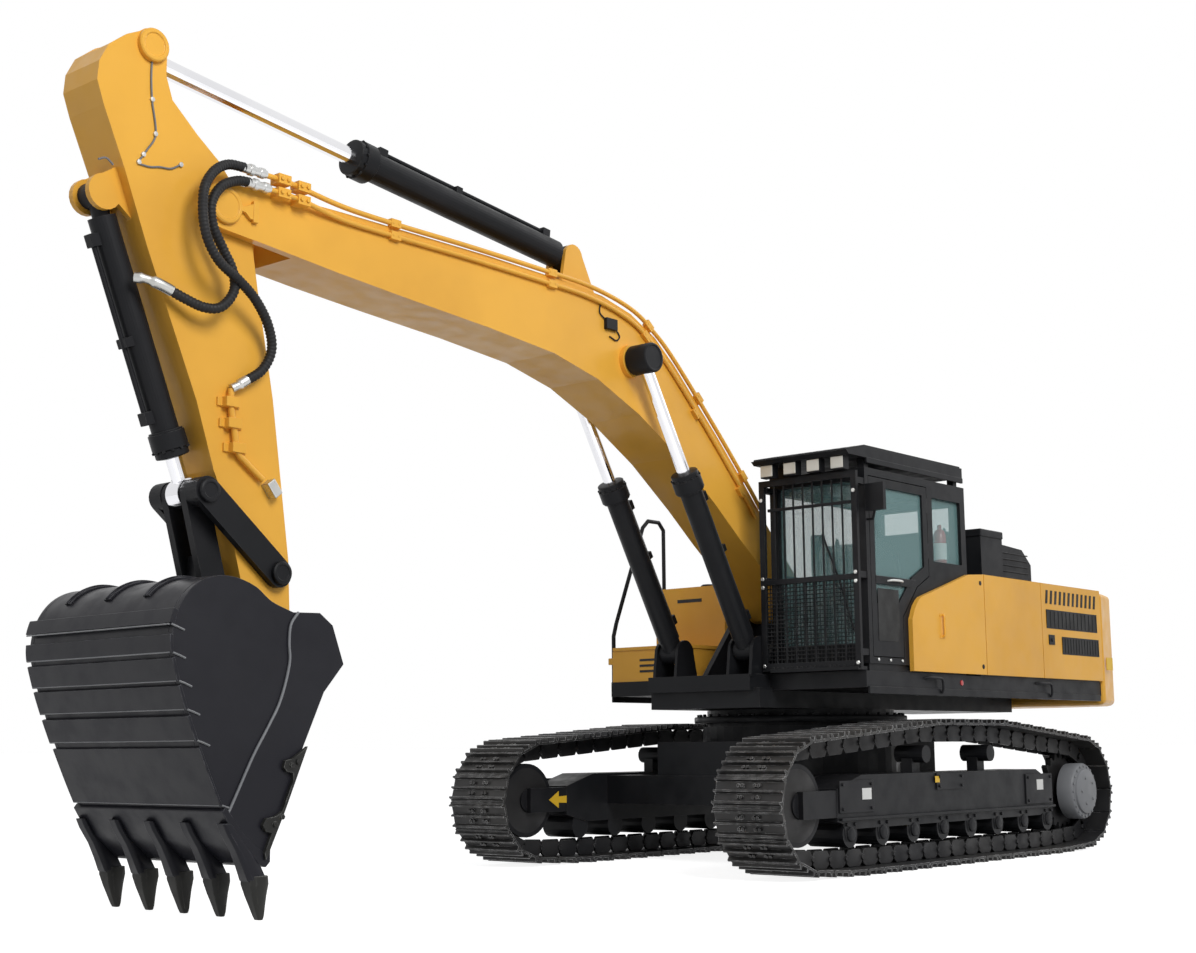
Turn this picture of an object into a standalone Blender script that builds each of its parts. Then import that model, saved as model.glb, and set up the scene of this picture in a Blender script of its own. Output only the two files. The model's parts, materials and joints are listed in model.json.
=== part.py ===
"""Crawler excavator with a mono boom, an arm and a digging bucket, parked with its bucket teeth at the ground.

Units are metres and +Z is up. The sizes below are measured in the machine's own frame: X runs forward from the
swing axis, Y to the operator's left, Z up from the ground under the tracks. Everything hangs on one empty that
moves this frame, so that the origin lies under the middle of the machine's bounding box.
"""
import math

import bmesh
import bpy
import numpy as np
from mathutils import Matrix, Vector

GAP = 0.0005            # between pieces that are fastened to each other
SLIDE = 0.006           # between pieces that move past each other
PIN_GAP = 0.0008        # round a pin, and beside an eye on its pin

# Undercarriage
GAUGE = 2.70
SHOE_WIDTH = 0.60
WHEEL_X = 2.22          # idler and sprocket, either side of the swing axis
WHEEL_Z = 0.53
WHEEL_RADIUS = 0.47     # out to the face of the shoe plates
SHOE_THICK = 0.045
SOLE_FLAT = 0.0001      # points lower than this lie on the ground
GROUSER = 0.035
SHOE_COUNT = 52
CHAIN_WIDTH = 0.24
CHAIN_DEPTH = 0.12
ROLLER_RADIUS = 0.10
ROLLER_COUNT = 8
ROLLER_SPAN = 1.62      # first and last bottom roller, either side of the swing axis
CARRIER_X = (0.42, -0.66)
CARRIER_Z = 0.885
TRACK_FRAME_WIDTH = 0.36
TRACK_FRAME_Z = (0.34, 0.74)

# Upper structure
DECK_Z = (1.41, 1.54)
GIRDER_Z = (1.27, 1.41)
BEARING_RADIUS = 0.82
BEARING_Z = (1.13, 1.2695)
HOUSE_HALF = 1.50       # outer faces of the side doors
PANEL = 0.04            # thickness of doors and lids
HOUSE_FRONT = -0.62
HOUSE_REAR = -3.00
HOUSE_TOP = 2.42
HOUSE_WALL = 0.05
TAIL_RADIUS = 3.75
CW_Z = (1.32, 2.42)

# Cab
CAB_X = (-0.45, 1.16)
CAB_Y = (0.54, 1.46)
CAB_Z = (1.60, 3.16)
CAB_WALL = 0.07
DOOR_REAR_X = 0.20
DOOR_STEP_X = 0.64      # the door's rear edge below its step
DOOR_STEP_Z = 1.99
DOOR_Z = (1.658, 3.092)
DOOR_THICK = 0.045
DOOR_RIM = 0.07         # frame round the door's window
DOOR_SILL = 0.42        # the window's lower edge above the door's
GUARD_X = 1.26
GUARD_PANES = (1.62, 2.28, 3.07)    # lower edge, crossbar and upper edge
BAR_COUNT = 8
LAMP_COUNT = 4
ROOF_GUARD_Z = (3.24, 3.33)
ROOF_GUARD_FRONT = 1.42
RAIL_RADIUS = 0.019
RAIL_Y = 1.46 + RAIL_RADIUS + GAP

# Boom, arm and bucket pins (X, Z)
BOOM_FOOT = (0.28, 2.20)
BOOM_CYL_FOOT = (1.30, 1.74)
BOOM_CYL_EYE = (2.62, 3.96)
BOOM_TIP = (6.54, 4.30)
ARM_CYL_FOOT = (3.10, 4.74)
ARM_CYL_EYE = (7.06, 5.20)
BUCKET_CYL_FOOT = (7.30, 4.24)
ROCKER_PIN = (6.04, 2.05)
LINK_PIN = (6.60, 2.51)
BUCKET_LINK_PIN = (6.42, 1.87)
BUCKET_PIN = (6.05, 1.52)

BOOM_HALF = 0.25
FORK_X = 5.97           # where the boom's fork round the arm begins
ARM_HALF = 0.18
ARM_PLATE = 0.03
BOOM_CYL_Y = BOOM_HALF + 0.135
BUCKET_HALF = 0.72
BUCKET_PLATE = 0.04
TOOTH_COUNT = 5
TOOTH_SPAN = 0.70
TOOTH_TIP_Z = 0.012
BIG_PIN = 0.06          # radius of the boom's two pins
PIN = 0.05              # radius of the other pins

NOSE_X = 7.43           # the foremost point of the arm's head
CENTRE_X = (NOSE_X - TAIL_RADIUS) / 2

for old in list(bpy.data.objects):
    bpy.data.objects.remove(old, do_unlink=True)

PARTS = bpy.data.collections.new("crawler_excavator")
CUTTERS = bpy.data.collections.new("cutters")
bpy.context.scene.collection.children.link(PARTS)
bpy.context.scene.collection.children.link(CUTTERS)


def material(name, colour, metallic, roughness):
    """A Principled material from a base colour, a metallic value and a roughness."""
    mat = bpy.data.materials.new(name)
    mat.use_nodes = True
    shader = mat.node_tree.nodes["Principled BSDF"]
    shader.inputs["Base Color"].default_value = (*colour, 1.0)
    shader.inputs["Metallic"].default_value = metallic
    shader.inputs["Roughness"].default_value = roughness
    mat.diffuse_color = (*colour, 1.0)
    return mat


YELLOW = material("yellow_paint", (0.74, 0.42, 0.07), 0.0, 0.42)
BLACK = material("black_paint", (0.03, 0.032, 0.036), 0.0, 0.5)
STEEL = material("track_steel", (0.09, 0.09, 0.095), 0.6, 0.5)
CHROME = material("chrome", (0.8, 0.8, 0.82), 1.0, 0.15)
GREY = material("grey_paint", (0.25, 0.26, 0.27), 0.0, 0.5)
FABRIC = material("seat_fabric", (0.06, 0.06, 0.065), 0.0, 0.9)

ROOT = bpy.data.objects.new("machine", None)
ROOT.location = (-CENTRE_X, 0, 0)
PARTS.objects.link(ROOT)
PIVOTS = {"machine": (ROOT, Vector((0, 0, 0)))}


def pivot(name, parent, place):
    """An empty on a joint's axis, at a place in the machine's frame, carried by another empty."""
    empty = bpy.data.objects.new(name + "_pivot", None)
    carrier, origin = PIVOTS[parent]
    empty.parent = carrier
    empty.location = Vector(place) - origin
    PARTS.objects.link(empty)
    PIVOTS[name] = (empty, Vector(place))


def pin(point, y=0.0):
    """A pin's place (X, Z) as a point of the machine's frame."""
    return (point[0], y, point[1])


pivot("upper", "machine", (0, 0, 0))
pivot("boom", "upper", pin(BOOM_FOOT))
pivot("arm", "boom", pin(BOOM_TIP))
pivot("bucket", "arm", pin(BUCKET_PIN))
pivot("rocker", "arm", pin(ROCKER_PIN))
pivot("link", "bucket", pin(BUCKET_LINK_PIN))
pivot("bucket_barrel", "arm", pin(BUCKET_CYL_FOOT))
pivot("bucket_rod", "bucket_barrel", pin(LINK_PIN))
pivot("arm_barrel", "boom", pin(ARM_CYL_FOOT))
pivot("arm_rod", "arm_barrel", pin(ARM_CYL_EYE))
for side, sign in (("left", 1), ("right", -1)):
    pivot(side + "_boom_barrel", "upper", pin(BOOM_CYL_FOOT, sign * BOOM_CYL_Y))
    pivot(side + "_boom_rod", side + "_boom_barrel", pin(BOOM_CYL_EYE, sign * BOOM_CYL_Y))


def settle(obj, body, mat):
    """Gives an object its material and hangs it on its body's pivot, with its shape kept in place."""
    carrier, origin = PIVOTS[body]
    obj.data.transform(Matrix.Translation(-origin))
    obj.parent = carrier
    if obj.data.materials:
        obj.data.materials[0] = mat
    else:
        obj.data.materials.append(mat)
    return obj


def shown(name, mesh, body, mat):
    """A visible piece from a finished mesh."""
    obj = bpy.data.objects.new(name, mesh)
    PARTS.objects.link(obj)
    return settle(obj, body, mat)


def box_mesh(x, y, z):
    """A box from its three (low, high) spans."""
    bm = bmesh.new()
    bmesh.ops.create_cube(bm, size=1.0)
    size = [b - a for a, b in (x, y, z)]
    middle = [(a + b) / 2 for a, b in (x, y, z)]
    bmesh.ops.scale(bm, vec=size, verts=bm.verts)
    bmesh.ops.translate(bm, vec=middle, verts=bm.verts)
    return finish(bm, "box")


def rod_mesh(start, end, radius, end_radius=None, sides=32):
    """A round bar between two points, straight or tapering."""
    start, end = Vector(start), Vector(end)
    along = end - start
    bm = bmesh.new()
    turn = Vector((0, 0, 1)).rotation_difference(along).to_matrix().to_4x4()
    bmesh.ops.create_cone(bm, cap_ends=True, segments=sides, radius1=radius,
                          radius2=radius if end_radius is None else end_radius, depth=along.length,
                          matrix=Matrix.Translation((start + end) / 2) @ turn)
    return finish(bm, "rod")


def flat_curve(outlines, depth):
    """A filled 2D curve, extruded to a depth. Outlines inside the first are holes."""
    curve = bpy.data.curves.new("outline", "CURVE")
    curve.dimensions = "2D"
    curve.fill_mode = "BOTH"
    curve.extrude = depth / 2
    for outline in outlines:
        spline = curve.splines.new("POLY")
        spline.points.add(len(outline) - 1)
        for point, (u, v) in zip(spline.points, outline):
            point.co = (u, v, 0, 1)
        spline.use_cyclic_u = True
    return curve


def plate_mesh(outline, y, holes=()):
    """A flat plate: an outline of (X, Z) points in the machine's vertical plane, extruded over a span of Y."""
    place = Matrix.Translation((0, (y[0] + y[1]) / 2, 0)) @ Matrix.Rotation(math.pi / 2, 4, "X")
    return flat_to_mesh(flat_curve([outline, *holes], abs(y[1] - y[0])), place)


def slab_mesh(outline, z):
    """A level slab: an outline of (X, Y) points extruded over a span of Z."""
    return flat_to_mesh(flat_curve([outline], abs(z[1] - z[0])), Matrix.Translation((0, 0, (z[0] + z[1]) / 2)))


def flat_to_mesh(curve, matrix):
    """Turns a filled curve into a closed mesh at a place."""
    holder = bpy.data.objects.new("holder", curve)
    mesh = bpy.data.meshes.new_from_object(holder)
    bpy.data.objects.remove(holder)
    bm = bmesh.new()
    bm.from_mesh(mesh)
    bmesh.ops.remove_doubles(bm, verts=bm.verts, dist=1e-5)
    bmesh.ops.transform(bm, matrix=matrix, verts=bm.verts)
    return finish(bm, "plate")


def tube_mesh(points, radius, sides=10):
    """A round tube with closed ends along a list of points, mitred at each."""
    path = [Vector(p) for p in points]
    bm = bmesh.new()
    rings = []
    normal = None
    for i, here in enumerate(path):
        back = (here - path[i - 1]).normalized() if i else None
        ahead = (path[i + 1] - here).normalized() if i + 1 < len(path) else None
        along = (back + ahead).normalized() if back and ahead else (back or ahead)
        if normal is None:
            normal = along.orthogonal().normalized()
        normal = (normal - along * normal.dot(along)).normalized()
        other = along.cross(normal)
        stretch = 1 / max(0.4, along.dot(back or ahead))
        turn = [2 * math.pi * k / sides for k in range(sides)]
        bend = (ahead - back) if back and ahead and (ahead - back).length > 1e-6 else None
        ring = []
        for t in turn:
            offset = (normal * math.cos(t) + other * math.sin(t)) * radius
            if bend:
                unit = bend.normalized()
                offset += unit * offset.dot(unit) * (stretch - 1)
            ring.append(bm.verts.new(here + offset))
        rings.append(ring)
    for a, b in zip(rings, rings[1:]):
        for k in range(sides):
            n = (k + 1) % sides
            bm.faces.new((a[k], a[n], b[n], b[k]))
    bm.faces.new(list(reversed(rings[0])))
    bm.faces.new(rings[-1])
    return finish(bm, "tube")


def finish(bm, name):
    """Writes a bmesh out as a mesh, with its faces turned outward."""
    bmesh.ops.recalc_face_normals(bm, faces=bm.faces)
    mesh = bpy.data.meshes.new(name)
    bm.to_mesh(mesh)
    bm.free()
    return mesh


def combine(obj, body, meshes, operation, solver="EXACT"):
    """Adds meshes to a piece, or takes them away, with one Boolean modifier for each."""
    for i, mesh in enumerate(meshes):
        cutter = bpy.data.objects.new(f"{obj.name}_{operation.lower()}_{i}", mesh)
        CUTTERS.objects.link(cutter)
        settle(cutter, body, obj.data.materials[0])
        cutter.hide_render = True
        cutter.display_type = "WIRE"
        step = obj.modifiers.new(f"{operation.lower()}_{len(obj.modifiers)}", "BOOLEAN")
        step.operation = operation
        step.object = cutter
        step.solver = solver


def piece(name, body, mat, base, add=(), cut=()):
    """One named piece: a base mesh, with meshes added and then meshes cut away."""
    obj = shown(name, base, body, mat)
    combine(obj, body, add, "UNION")
    combine(obj, body, cut, "DIFFERENCE")
    return obj


def arc(centre, radius, start, end, steps):
    """Points on an arc about a centre, from one angle in degrees to another."""
    angles = np.radians(np.linspace(start, end, steps))
    return [(centre[0] + radius * math.cos(a), centre[1] + radius * math.sin(a)) for a in angles]


def disc(centre, y, radius, sides=32):
    """A round boss about a pin, across a span of Y."""
    return rod_mesh(pin(centre, y[0]), pin(centre, y[1]), radius, sides=sides)


def both(y):
    """A span of Y on the left and the same on the right."""
    return (y, (-y[1], -y[0]))


# ---------------------------------------------------------------- undercarriage

def belt(wheels, inset, count):
    """Points at an even pitch along a belt round some wheels, moved inward by an inset, with outward normals."""
    rim = np.radians(np.arange(0, 360, 3))
    ring = [np.c_[x + (r - inset) * np.cos(rim), z + (r - inset) * np.sin(rim)] for x, z, r in wheels]
    cloud = np.vstack(ring)
    middle = cloud.mean(axis=0)
    order = sorted(range(len(cloud)), key=lambda i: (cloud[i][0], cloud[i][1]))
    hull = []
    for indices in (order, order[::-1]):
        chain = []
        for i in indices:
            while len(chain) > 1:
                (ax, az), (bx, bz), (px, pz) = cloud[chain[-2]], cloud[chain[-1]], cloud[i]
                if (bx - ax) * (pz - az) - (bz - az) * (px - ax) > 0:
                    break
                chain.pop()
            chain.append(i)
        hull += chain[:-1]
    loop = cloud[hull]
    closed = np.vstack([loop, loop[:1]])
    run = np.r_[0, np.cumsum(np.hypot(*np.diff(closed, axis=0).T))]
    stations = np.linspace(0, run[-1], count, endpoint=False)
    points = np.c_[np.interp(stations, run, closed[:, 0]), np.interp(stations, run, closed[:, 1])]
    ahead = np.roll(points, -1, axis=0) - np.roll(points, 1, axis=0)
    ahead /= np.hypot(*ahead.T)[:, None]
    normals = np.c_[ahead[:, 1], -ahead[:, 0]]
    outward = ((points - middle) * normals).sum(axis=1)
    normals[outward < 0] *= -1
    return points, normals


WHEELS = (
    (WHEEL_X, WHEEL_Z, WHEEL_RADIUS),
    (-WHEEL_X, WHEEL_Z, WHEEL_RADIUS),
    (ROLLER_SPAN + 0.1, GROUSER + 0.24, 0.24),
    (-ROLLER_SPAN - 0.1, GROUSER + 0.24, 0.24),
    (CARRIER_X[0], CARRIER_Z, 0.25),
    (CARRIER_X[1], CARRIER_Z, 0.25),
)


def track(side, y):
    """One track: shoe plates with a grouser bar each, round a narrower chain, as one fixed loop."""
    points, normals = belt(WHEELS, 0.0, SHOE_COUNT * 6)
    lift = np.array([0, 0, 0, GROUSER, GROUSER, 0])
    outer = points + normals * np.tile(lift, SHOE_COUNT)[:, None]
    outer[outer[:, 1] < SOLE_FLAT, 1] = 0.0
    depths = {"shoe": SHOE_THICK, "seat": SHOE_THICK - 0.01, "chain": SHOE_THICK + CHAIN_DEPTH}
    ring = {k: [tuple(p) for p in points[::3] - normals[::3] * d] for k, d in depths.items()}
    half, narrow = SHOE_WIDTH / 2, CHAIN_WIDTH / 2
    shoes = plate_mesh([tuple(p) for p in outer], (y - half, y + half), [ring["shoe"]])
    chain = plate_mesh(ring["seat"], (y - narrow, y + narrow), [ring["chain"]])
    loop = shown(side + "_track", shoes, "machine", STEEL)
    combine(loop, "machine", [chain], "UNION", solver="MANIFOLD")


def track_frame(side, sign):
    """The box beam inside one track, with its bottom rollers, carrier rollers and idler yoke."""
    y = sign * GAUGE / 2
    half = TRACK_FRAME_WIDTH / 2
    low, high = TRACK_FRAME_Z
    front, rear = WHEEL_X - 0.42, -WHEEL_X + 0.50
    outline = [(rear, low + 0.08), (rear + 0.25, low), (front - 0.25, low), (front, low + 0.06),
               (front, high - 0.10), (front - 0.35, high), (rear + 0.30, high), (rear, high - 0.12)]
    floor = GROUSER + SHOE_THICK + CHAIN_DEPTH + GAP
    add = []
    for i in range(ROLLER_COUNT):
        x = -ROLLER_SPAN + 2 * ROLLER_SPAN * i / (ROLLER_COUNT - 1)
        add.append(disc((x, floor + ROLLER_RADIUS + 0.002), (y - half + 0.01, y + half - 0.01), ROLLER_RADIUS, 20))
    top = CARRIER_Z + 0.25 - SHOE_THICK - CHAIN_DEPTH - 0.012
    for x in CARRIER_X:
        add.append(disc((x, top - 0.07), (y - 0.11, y + 0.15), 0.07, 20))
        add.append(box_mesh((x - 0.06, x + 0.06), (y - 0.05, y + 0.05), (high - 0.05, top - 0.09)))
    add.append(box_mesh((front - 0.05, WHEEL_X + 0.02), (y + 0.125, y + 0.175), (WHEEL_Z - 0.10, WHEEL_Z + 0.10)))
    add.append(box_mesh((front - 0.05, WHEEL_X + 0.02), (y - 0.175, y - 0.125), (WHEEL_Z - 0.10, WHEEL_Z + 0.10)))
    inner = sorted((y - sign * 0.175, y - sign * 0.125))
    add.append(box_mesh((-WHEEL_X - 0.12, rear + 0.08), inner, (WHEEL_Z - 0.14, WHEEL_Z + 0.14)))
    idler_radius = WHEEL_RADIUS - SHOE_THICK - CHAIN_DEPTH - 0.003
    add.append(disc((WHEEL_X, WHEEL_Z), (y - 0.11, y + 0.11), idler_radius, 40))
    add.append(disc((WHEEL_X, WHEEL_Z), (y - 0.13, y + 0.13), 0.09, 24))
    piece(side + "_track_frame", "machine", BLACK, plate_mesh(outline, (y - half, y + half)), add=add)


def sprocket(side, sign):
    """The sprocket at the rear of one track, with its round drive cover."""
    y = sign * GAUGE / 2
    radius = WHEEL_RADIUS - SHOE_THICK - CHAIN_DEPTH - 0.003
    out = sorted((y + sign * 0.10, y + sign * 0.25))
    rim = sorted((y + sign * 0.25, y + sign * 0.28))
    piece(side + "_sprocket", "machine", GREY, disc((-WHEEL_X, WHEEL_Z), (y - 0.11, y + 0.11), radius, 40),
          add=[disc((-WHEEL_X, WHEEL_Z), out, 0.24, 40), disc((-WHEEL_X, WHEEL_Z), rim, 0.19, 40)])


def undercarriage():
    """Tracks, track frames, wheels and the car body between them."""
    for side, sign in (("left", 1), ("right", -1)):
        y = sign * GAUGE / 2
        track(side, y)
        track_frame(side, sign)
        sprocket(side, sign)
    reach = GAUGE / 2 - TRACK_FRAME_WIDTH / 2 - GAP
    legs = []
    for x in (-1.05, 1.05):
        legs.append(box_mesh((x - 0.22, x + 0.22), (-reach, reach), (0.48, 0.72)))
    legs.append(rod_mesh((0, 0, 0.70), (0, 0, BEARING_Z[0]), BEARING_RADIUS + 0.04, sides=48))
    legs.append(rod_mesh((0, 0, 0.90), (0, 0, BEARING_Z[1]), BEARING_RADIUS, sides=48))
    body = [(-1.25, -0.62), (1.25, -0.62), (1.25, 0.62), (-1.25, 0.62)]
    piece("car_body", "machine", BLACK, slab_mesh(body, (0.52, 1.00)), add=legs)


# ---------------------------------------------------------------- upper structure

def upper_frame():
    """The main deck with its centre girders, the boom foot's brackets and the boom cylinders' lugs."""
    deck = [(HOUSE_REAR + GAP, -1.46), (0.86, -1.46), (0.86, -0.60), (1.45, -0.55), (1.45, 0.50),
            (1.22, 0.54), (1.22, 1.46), (HOUSE_REAR + GAP, 1.46)]
    add = [box_mesh((-2.9, 1.40), (-0.56, 0.56), (GIRDER_Z[0] + 0.0005, GIRDER_Z[1] + 0.02))]
    foot = [(-0.56, DECK_Z[1] - 0.02), (1.05, DECK_Z[1] - 0.02)]
    foot += arc(BOOM_FOOT, 0.19, -5, 150, 14)
    for y in both((BOOM_HALF + SLIDE, BOOM_HALF + SLIDE + 0.05)):
        add.append(plate_mesh(foot, y))
    base = DECK_Z[1] - 0.02
    lug = [(BOOM_CYL_FOOT[0] - 0.16, base), (BOOM_CYL_FOOT[0] + 0.14, base)]
    lug += arc(BOOM_CYL_FOOT, 0.11, 0, 180, 12)
    for y in (*both((BOOM_CYL_Y + 0.10, BOOM_CYL_Y + 0.125)), *both((BOOM_CYL_Y - 0.125, BOOM_CYL_Y - 0.10))):
        add.append(plate_mesh(lug, y))
    add.append(box_mesh((-0.55, -0.45), (-0.30, 0.30), (base, 1.95)))
    add.append(disc(BOOM_FOOT, (-BOOM_HALF - 0.03, BOOM_HALF + 0.03), BIG_PIN))
    for y in both((BOOM_CYL_Y - 0.11, BOOM_CYL_Y + 0.11)):
        add.append(disc(BOOM_CYL_FOOT, y, PIN - 0.01))
    seat_x, seat_y = (CAB_X[0] + 0.05, CAB_X[1] - 0.02), (CAB_Y[0] + 0.02, CAB_Y[1] - 0.02)
    add.append(box_mesh(seat_x, seat_y, (base, CAB_Z[0] - GAP)))
    piece("upper_frame", "upper", BLACK, slab_mesh(deck, DECK_Z), add=add)


def counterweight():
    """The tail: a solid block, round in plan about the swing axis, with rounded upper edges."""
    spread = math.degrees(math.asin(1.50 / TAIL_RADIUS))
    plan = [(HOUSE_REAR, -1.50), (HOUSE_REAR, 1.50)]
    plan += arc((0, 0), TAIL_RADIUS, 180 - spread + 2.0, 180 + spread - 2.0, 17)
    obj = piece("counterweight", "upper", YELLOW, slab_mesh(plan, CW_Z))
    edge = obj.modifiers.new("edge", "BEVEL")
    edge.width = 0.05
    edge.segments = 3
    edge.limit_method = "ANGLE"
    edge.angle_limit = math.radians(40)


def engine_house():
    """The walls and roof round the engine bay, the engine itself, and the hood."""
    inner = HOUSE_HALF - PANEL - GAP
    floor = DECK_Z[1] + GAP
    front, rear = HOUSE_FRONT, HOUSE_REAR + 0.02
    wall = HOUSE_WALL
    span = (front - rear - 3 * wall) / 2
    cuts = []
    for i in range(2):
        x = rear + wall + i * (span + wall)
        cuts.append(box_mesh((x, x + span), (-inner - 0.1, inner + 0.1), (floor + wall, HOUSE_TOP - wall)))
    cuts.append(box_mesh((rear + wall, front - 0.9), (-0.72, 0.72), (HOUSE_TOP - wall - 0.1, HOUSE_TOP + 0.1)))
    piece("house_frame", "upper", BLACK, box_mesh((rear, front), (-inner, inner), (floor, HOUSE_TOP)),
          add=[rod_mesh((-1.20, -0.55, HOUSE_TOP - 0.02), (-1.20, -0.55, 2.98), 0.07)], cut=cuts)
    piece("engine_block", "upper", GREY,
          box_mesh((-2.75, -1.90), (-0.75, 0.65), (floor + wall + GAP, floor + wall + 0.68)))


def side_doors():
    """The service doors: one behind the cab, two on each side of the engine bay."""
    low = DECK_Z[1] + 0.012
    table = (  # name, side, rear X (and hinge), front X
        ("left_middle_door", 1, -1.735, -0.672),
        ("left_rear_door", 1, HOUSE_REAR + 0.02, -1.745),
        ("right_front_door", -1, -1.735, HOUSE_FRONT - 0.004),
        ("right_rear_door", -1, HOUSE_REAR + 0.02, -1.745),
    )
    for name, sign, rear, front in table:
        y = sorted((sign * (HOUSE_HALF - PANEL), sign * HOUSE_HALF))
        pivot(name, "upper", (rear, sign * HOUSE_HALF, (low + HOUSE_TOP) / 2))
        piece(name, name, YELLOW, box_mesh((rear, front), y, (low, HOUSE_TOP)))
    quarter = [(-0.662, low), (0.56, low), (0.56, 1.97)]
    quarter += arc((0.26, 1.90), 0.30, 20, 60, 5)
    quarter += [(-0.10, 2.31), (-0.40, 2.40), (-0.662, HOUSE_TOP)]
    pivot("left_front_door", "upper", (-0.662, HOUSE_HALF, (low + HOUSE_TOP) / 2))
    piece("left_front_door", "left_front_door", YELLOW,
          plate_mesh(quarter, (HOUSE_HALF - PANEL + GAP, HOUSE_HALF)))


def hood_and_top():
    """What stands on the house roof: the hinged hood, the air filter box, the exhaust and the lifting eyes."""
    base = HOUSE_TOP + PIN_GAP
    x = (HOUSE_REAR + 0.03, HOUSE_FRONT - 0.86)
    pivot("engine_hood", "upper", (x[0], 0, base))
    side = [(x[0], base), (x[1], base), (x[1], base + 0.42), (x[1] - 0.10, base + 0.50),
            (x[0] + 0.18, base + 0.44), (x[0], base + 0.30)]
    hollow = [(x[0] + 0.03, base - 0.1), (x[1] - 0.03, base - 0.1), (x[1] - 0.03, base + 0.39),
              (x[1] - 0.12, base + 0.46), (x[0] + 0.20, base + 0.40), (x[0] + 0.03, base + 0.27)]
    shell = plate_mesh(side, (-0.80, 0.80))
    piece("engine_hood", "engine_hood", BLACK, shell, cut=[plate_mesh(hollow, (-0.77, 0.77))])
    piece("air_filter_box", "upper", BLACK,
          box_mesh((-1.38, -0.98), (0.90, 1.32), (HOUSE_TOP + GAP, 2.86)))


def right_front():
    """The fuel tank, the tool box with its hinged lid, and the handrail beside them."""
    floor = DECK_Z[1] + GAP
    piece("fuel_tank", "upper", YELLOW, box_mesh((HOUSE_FRONT + 0.004, 0.20), (-1.46, -0.66), (floor, HOUSE_TOP)))
    x, y = (0.204, 0.84), (-1.46, -0.62)
    wall = 0.03
    piece("tool_box", "upper", YELLOW, box_mesh(x, y, (floor, 1.82)),
          cut=[box_mesh((x[0] + wall, x[1] - wall), (y[0] + wall, y[1] - wall), (floor + wall, 2.0))])
    pivot("tool_box_lid", "upper", (x[0] + 0.02, (y[0] + y[1]) / 2, 1.82 + PIN_GAP))
    lid = box_mesh((x[0] + 0.008, x[1] + 0.01), (y[0] + 0.01, y[1] + 0.01), (1.82 + PIN_GAP, 1.85))
    piece("tool_box_lid", "tool_box_lid", YELLOW, lid)
    rail = [(0.80, -RAIL_Y, 1.46), (0.80, -RAIL_Y, 1.96), (0.76, -RAIL_Y, 2.08), (0.36, -RAIL_Y, 3.00), (0.28, -RAIL_Y, 3.07),
            (0.12, -RAIL_Y, 3.07), (0.05, -RAIL_Y, 3.00), (0.05, -RAIL_Y, 2.30)]
    piece("right_handrail", "upper", BLACK, tube_mesh(rail, RAIL_RADIUS))


# ---------------------------------------------------------------- cab

def door_outline(grow, sill=0.0):
    """The cab door's outline, stepped over the house's front panel, grown by a margin, above a window's sill."""
    x0, x1 = DOOR_REAR_X - grow, CAB_X[1] - 0.058 + grow
    low, high = DOOR_Z[0] + sill - (0 if sill else grow), DOOR_Z[1] + grow
    step = DOOR_STEP_X - grow
    return [(step, low), (x1, low), (x1, high), (x0, high), (x0, DOOR_STEP_Z + 0.36 - grow),
            (x0 + 0.20, DOOR_STEP_Z + 0.26 - grow), (step, max(low + 0.001, DOOR_STEP_Z - grow))]


def cab():
    """The hollow cab shell with its windows, the door, guards, lamps, mirror and what is inside."""
    (x0, x1), (y0, y1), (z0, z1) = CAB_X, CAB_Y, CAB_Z
    w = CAB_WALL
    cuts = [
        box_mesh((x0 + w, x1 - w), (y0 + w, y1 - w), (z0 + w, z1 - w)),
        box_mesh((x1 - w - 0.1, x1 + 0.1), (y0 + w, y1 - w), (z0 + 0.16, z1 - 0.10)),
        box_mesh((x0 - 0.1, x0 + w + 0.1), (y0 + 0.12, y1 - 0.12), (z0 + 0.85, z1 - 0.16)),
        box_mesh((x0 + 0.12, x1 - 0.12), (y0 - 0.1, y0 + w + 0.1), (z0 + 0.75, z1 - 0.14)),
        box_mesh((x0 + 0.08, DOOR_REAR_X - 0.09), (y1 - w - 0.1, y1 + 0.1), (z0 + 0.88, z1 - 0.14)),
        plate_mesh(door_outline(0.008), (y1 - w - 0.02, y1 + 0.1)),
    ]
    piece("cab_shell", "upper", BLACK, box_mesh((x0, x1), (y0, y1), (z0, z1)), cut=cuts)
    pivot("cab_door", "upper", (DOOR_REAR_X, y1, (DOOR_Z[0] + DOOR_Z[1]) / 2))
    window = plate_mesh(door_outline(-DOOR_RIM, DOOR_SILL), (y1 - 0.2, y1 + 0.1))
    lug_x = (DOOR_REAR_X - 0.0075, DOOR_REAR_X + 0.03)
    hinges = [box_mesh(lug_x, (y1 - 0.03, y1), (z, z + 0.12)) for z in (2.50, 2.88)]
    door = plate_mesh(door_outline(0.0), (y1 - DOOR_THICK, y1))
    piece("cab_door", "cab_door", BLACK, door, add=hinges, cut=[window])
    roof_guard(x0, x1, y0, y1)
    front_guard(x1, y0, y1)
    mirror(x1, y1)
    inside(z0 + w + GAP, y0, y1)


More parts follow.
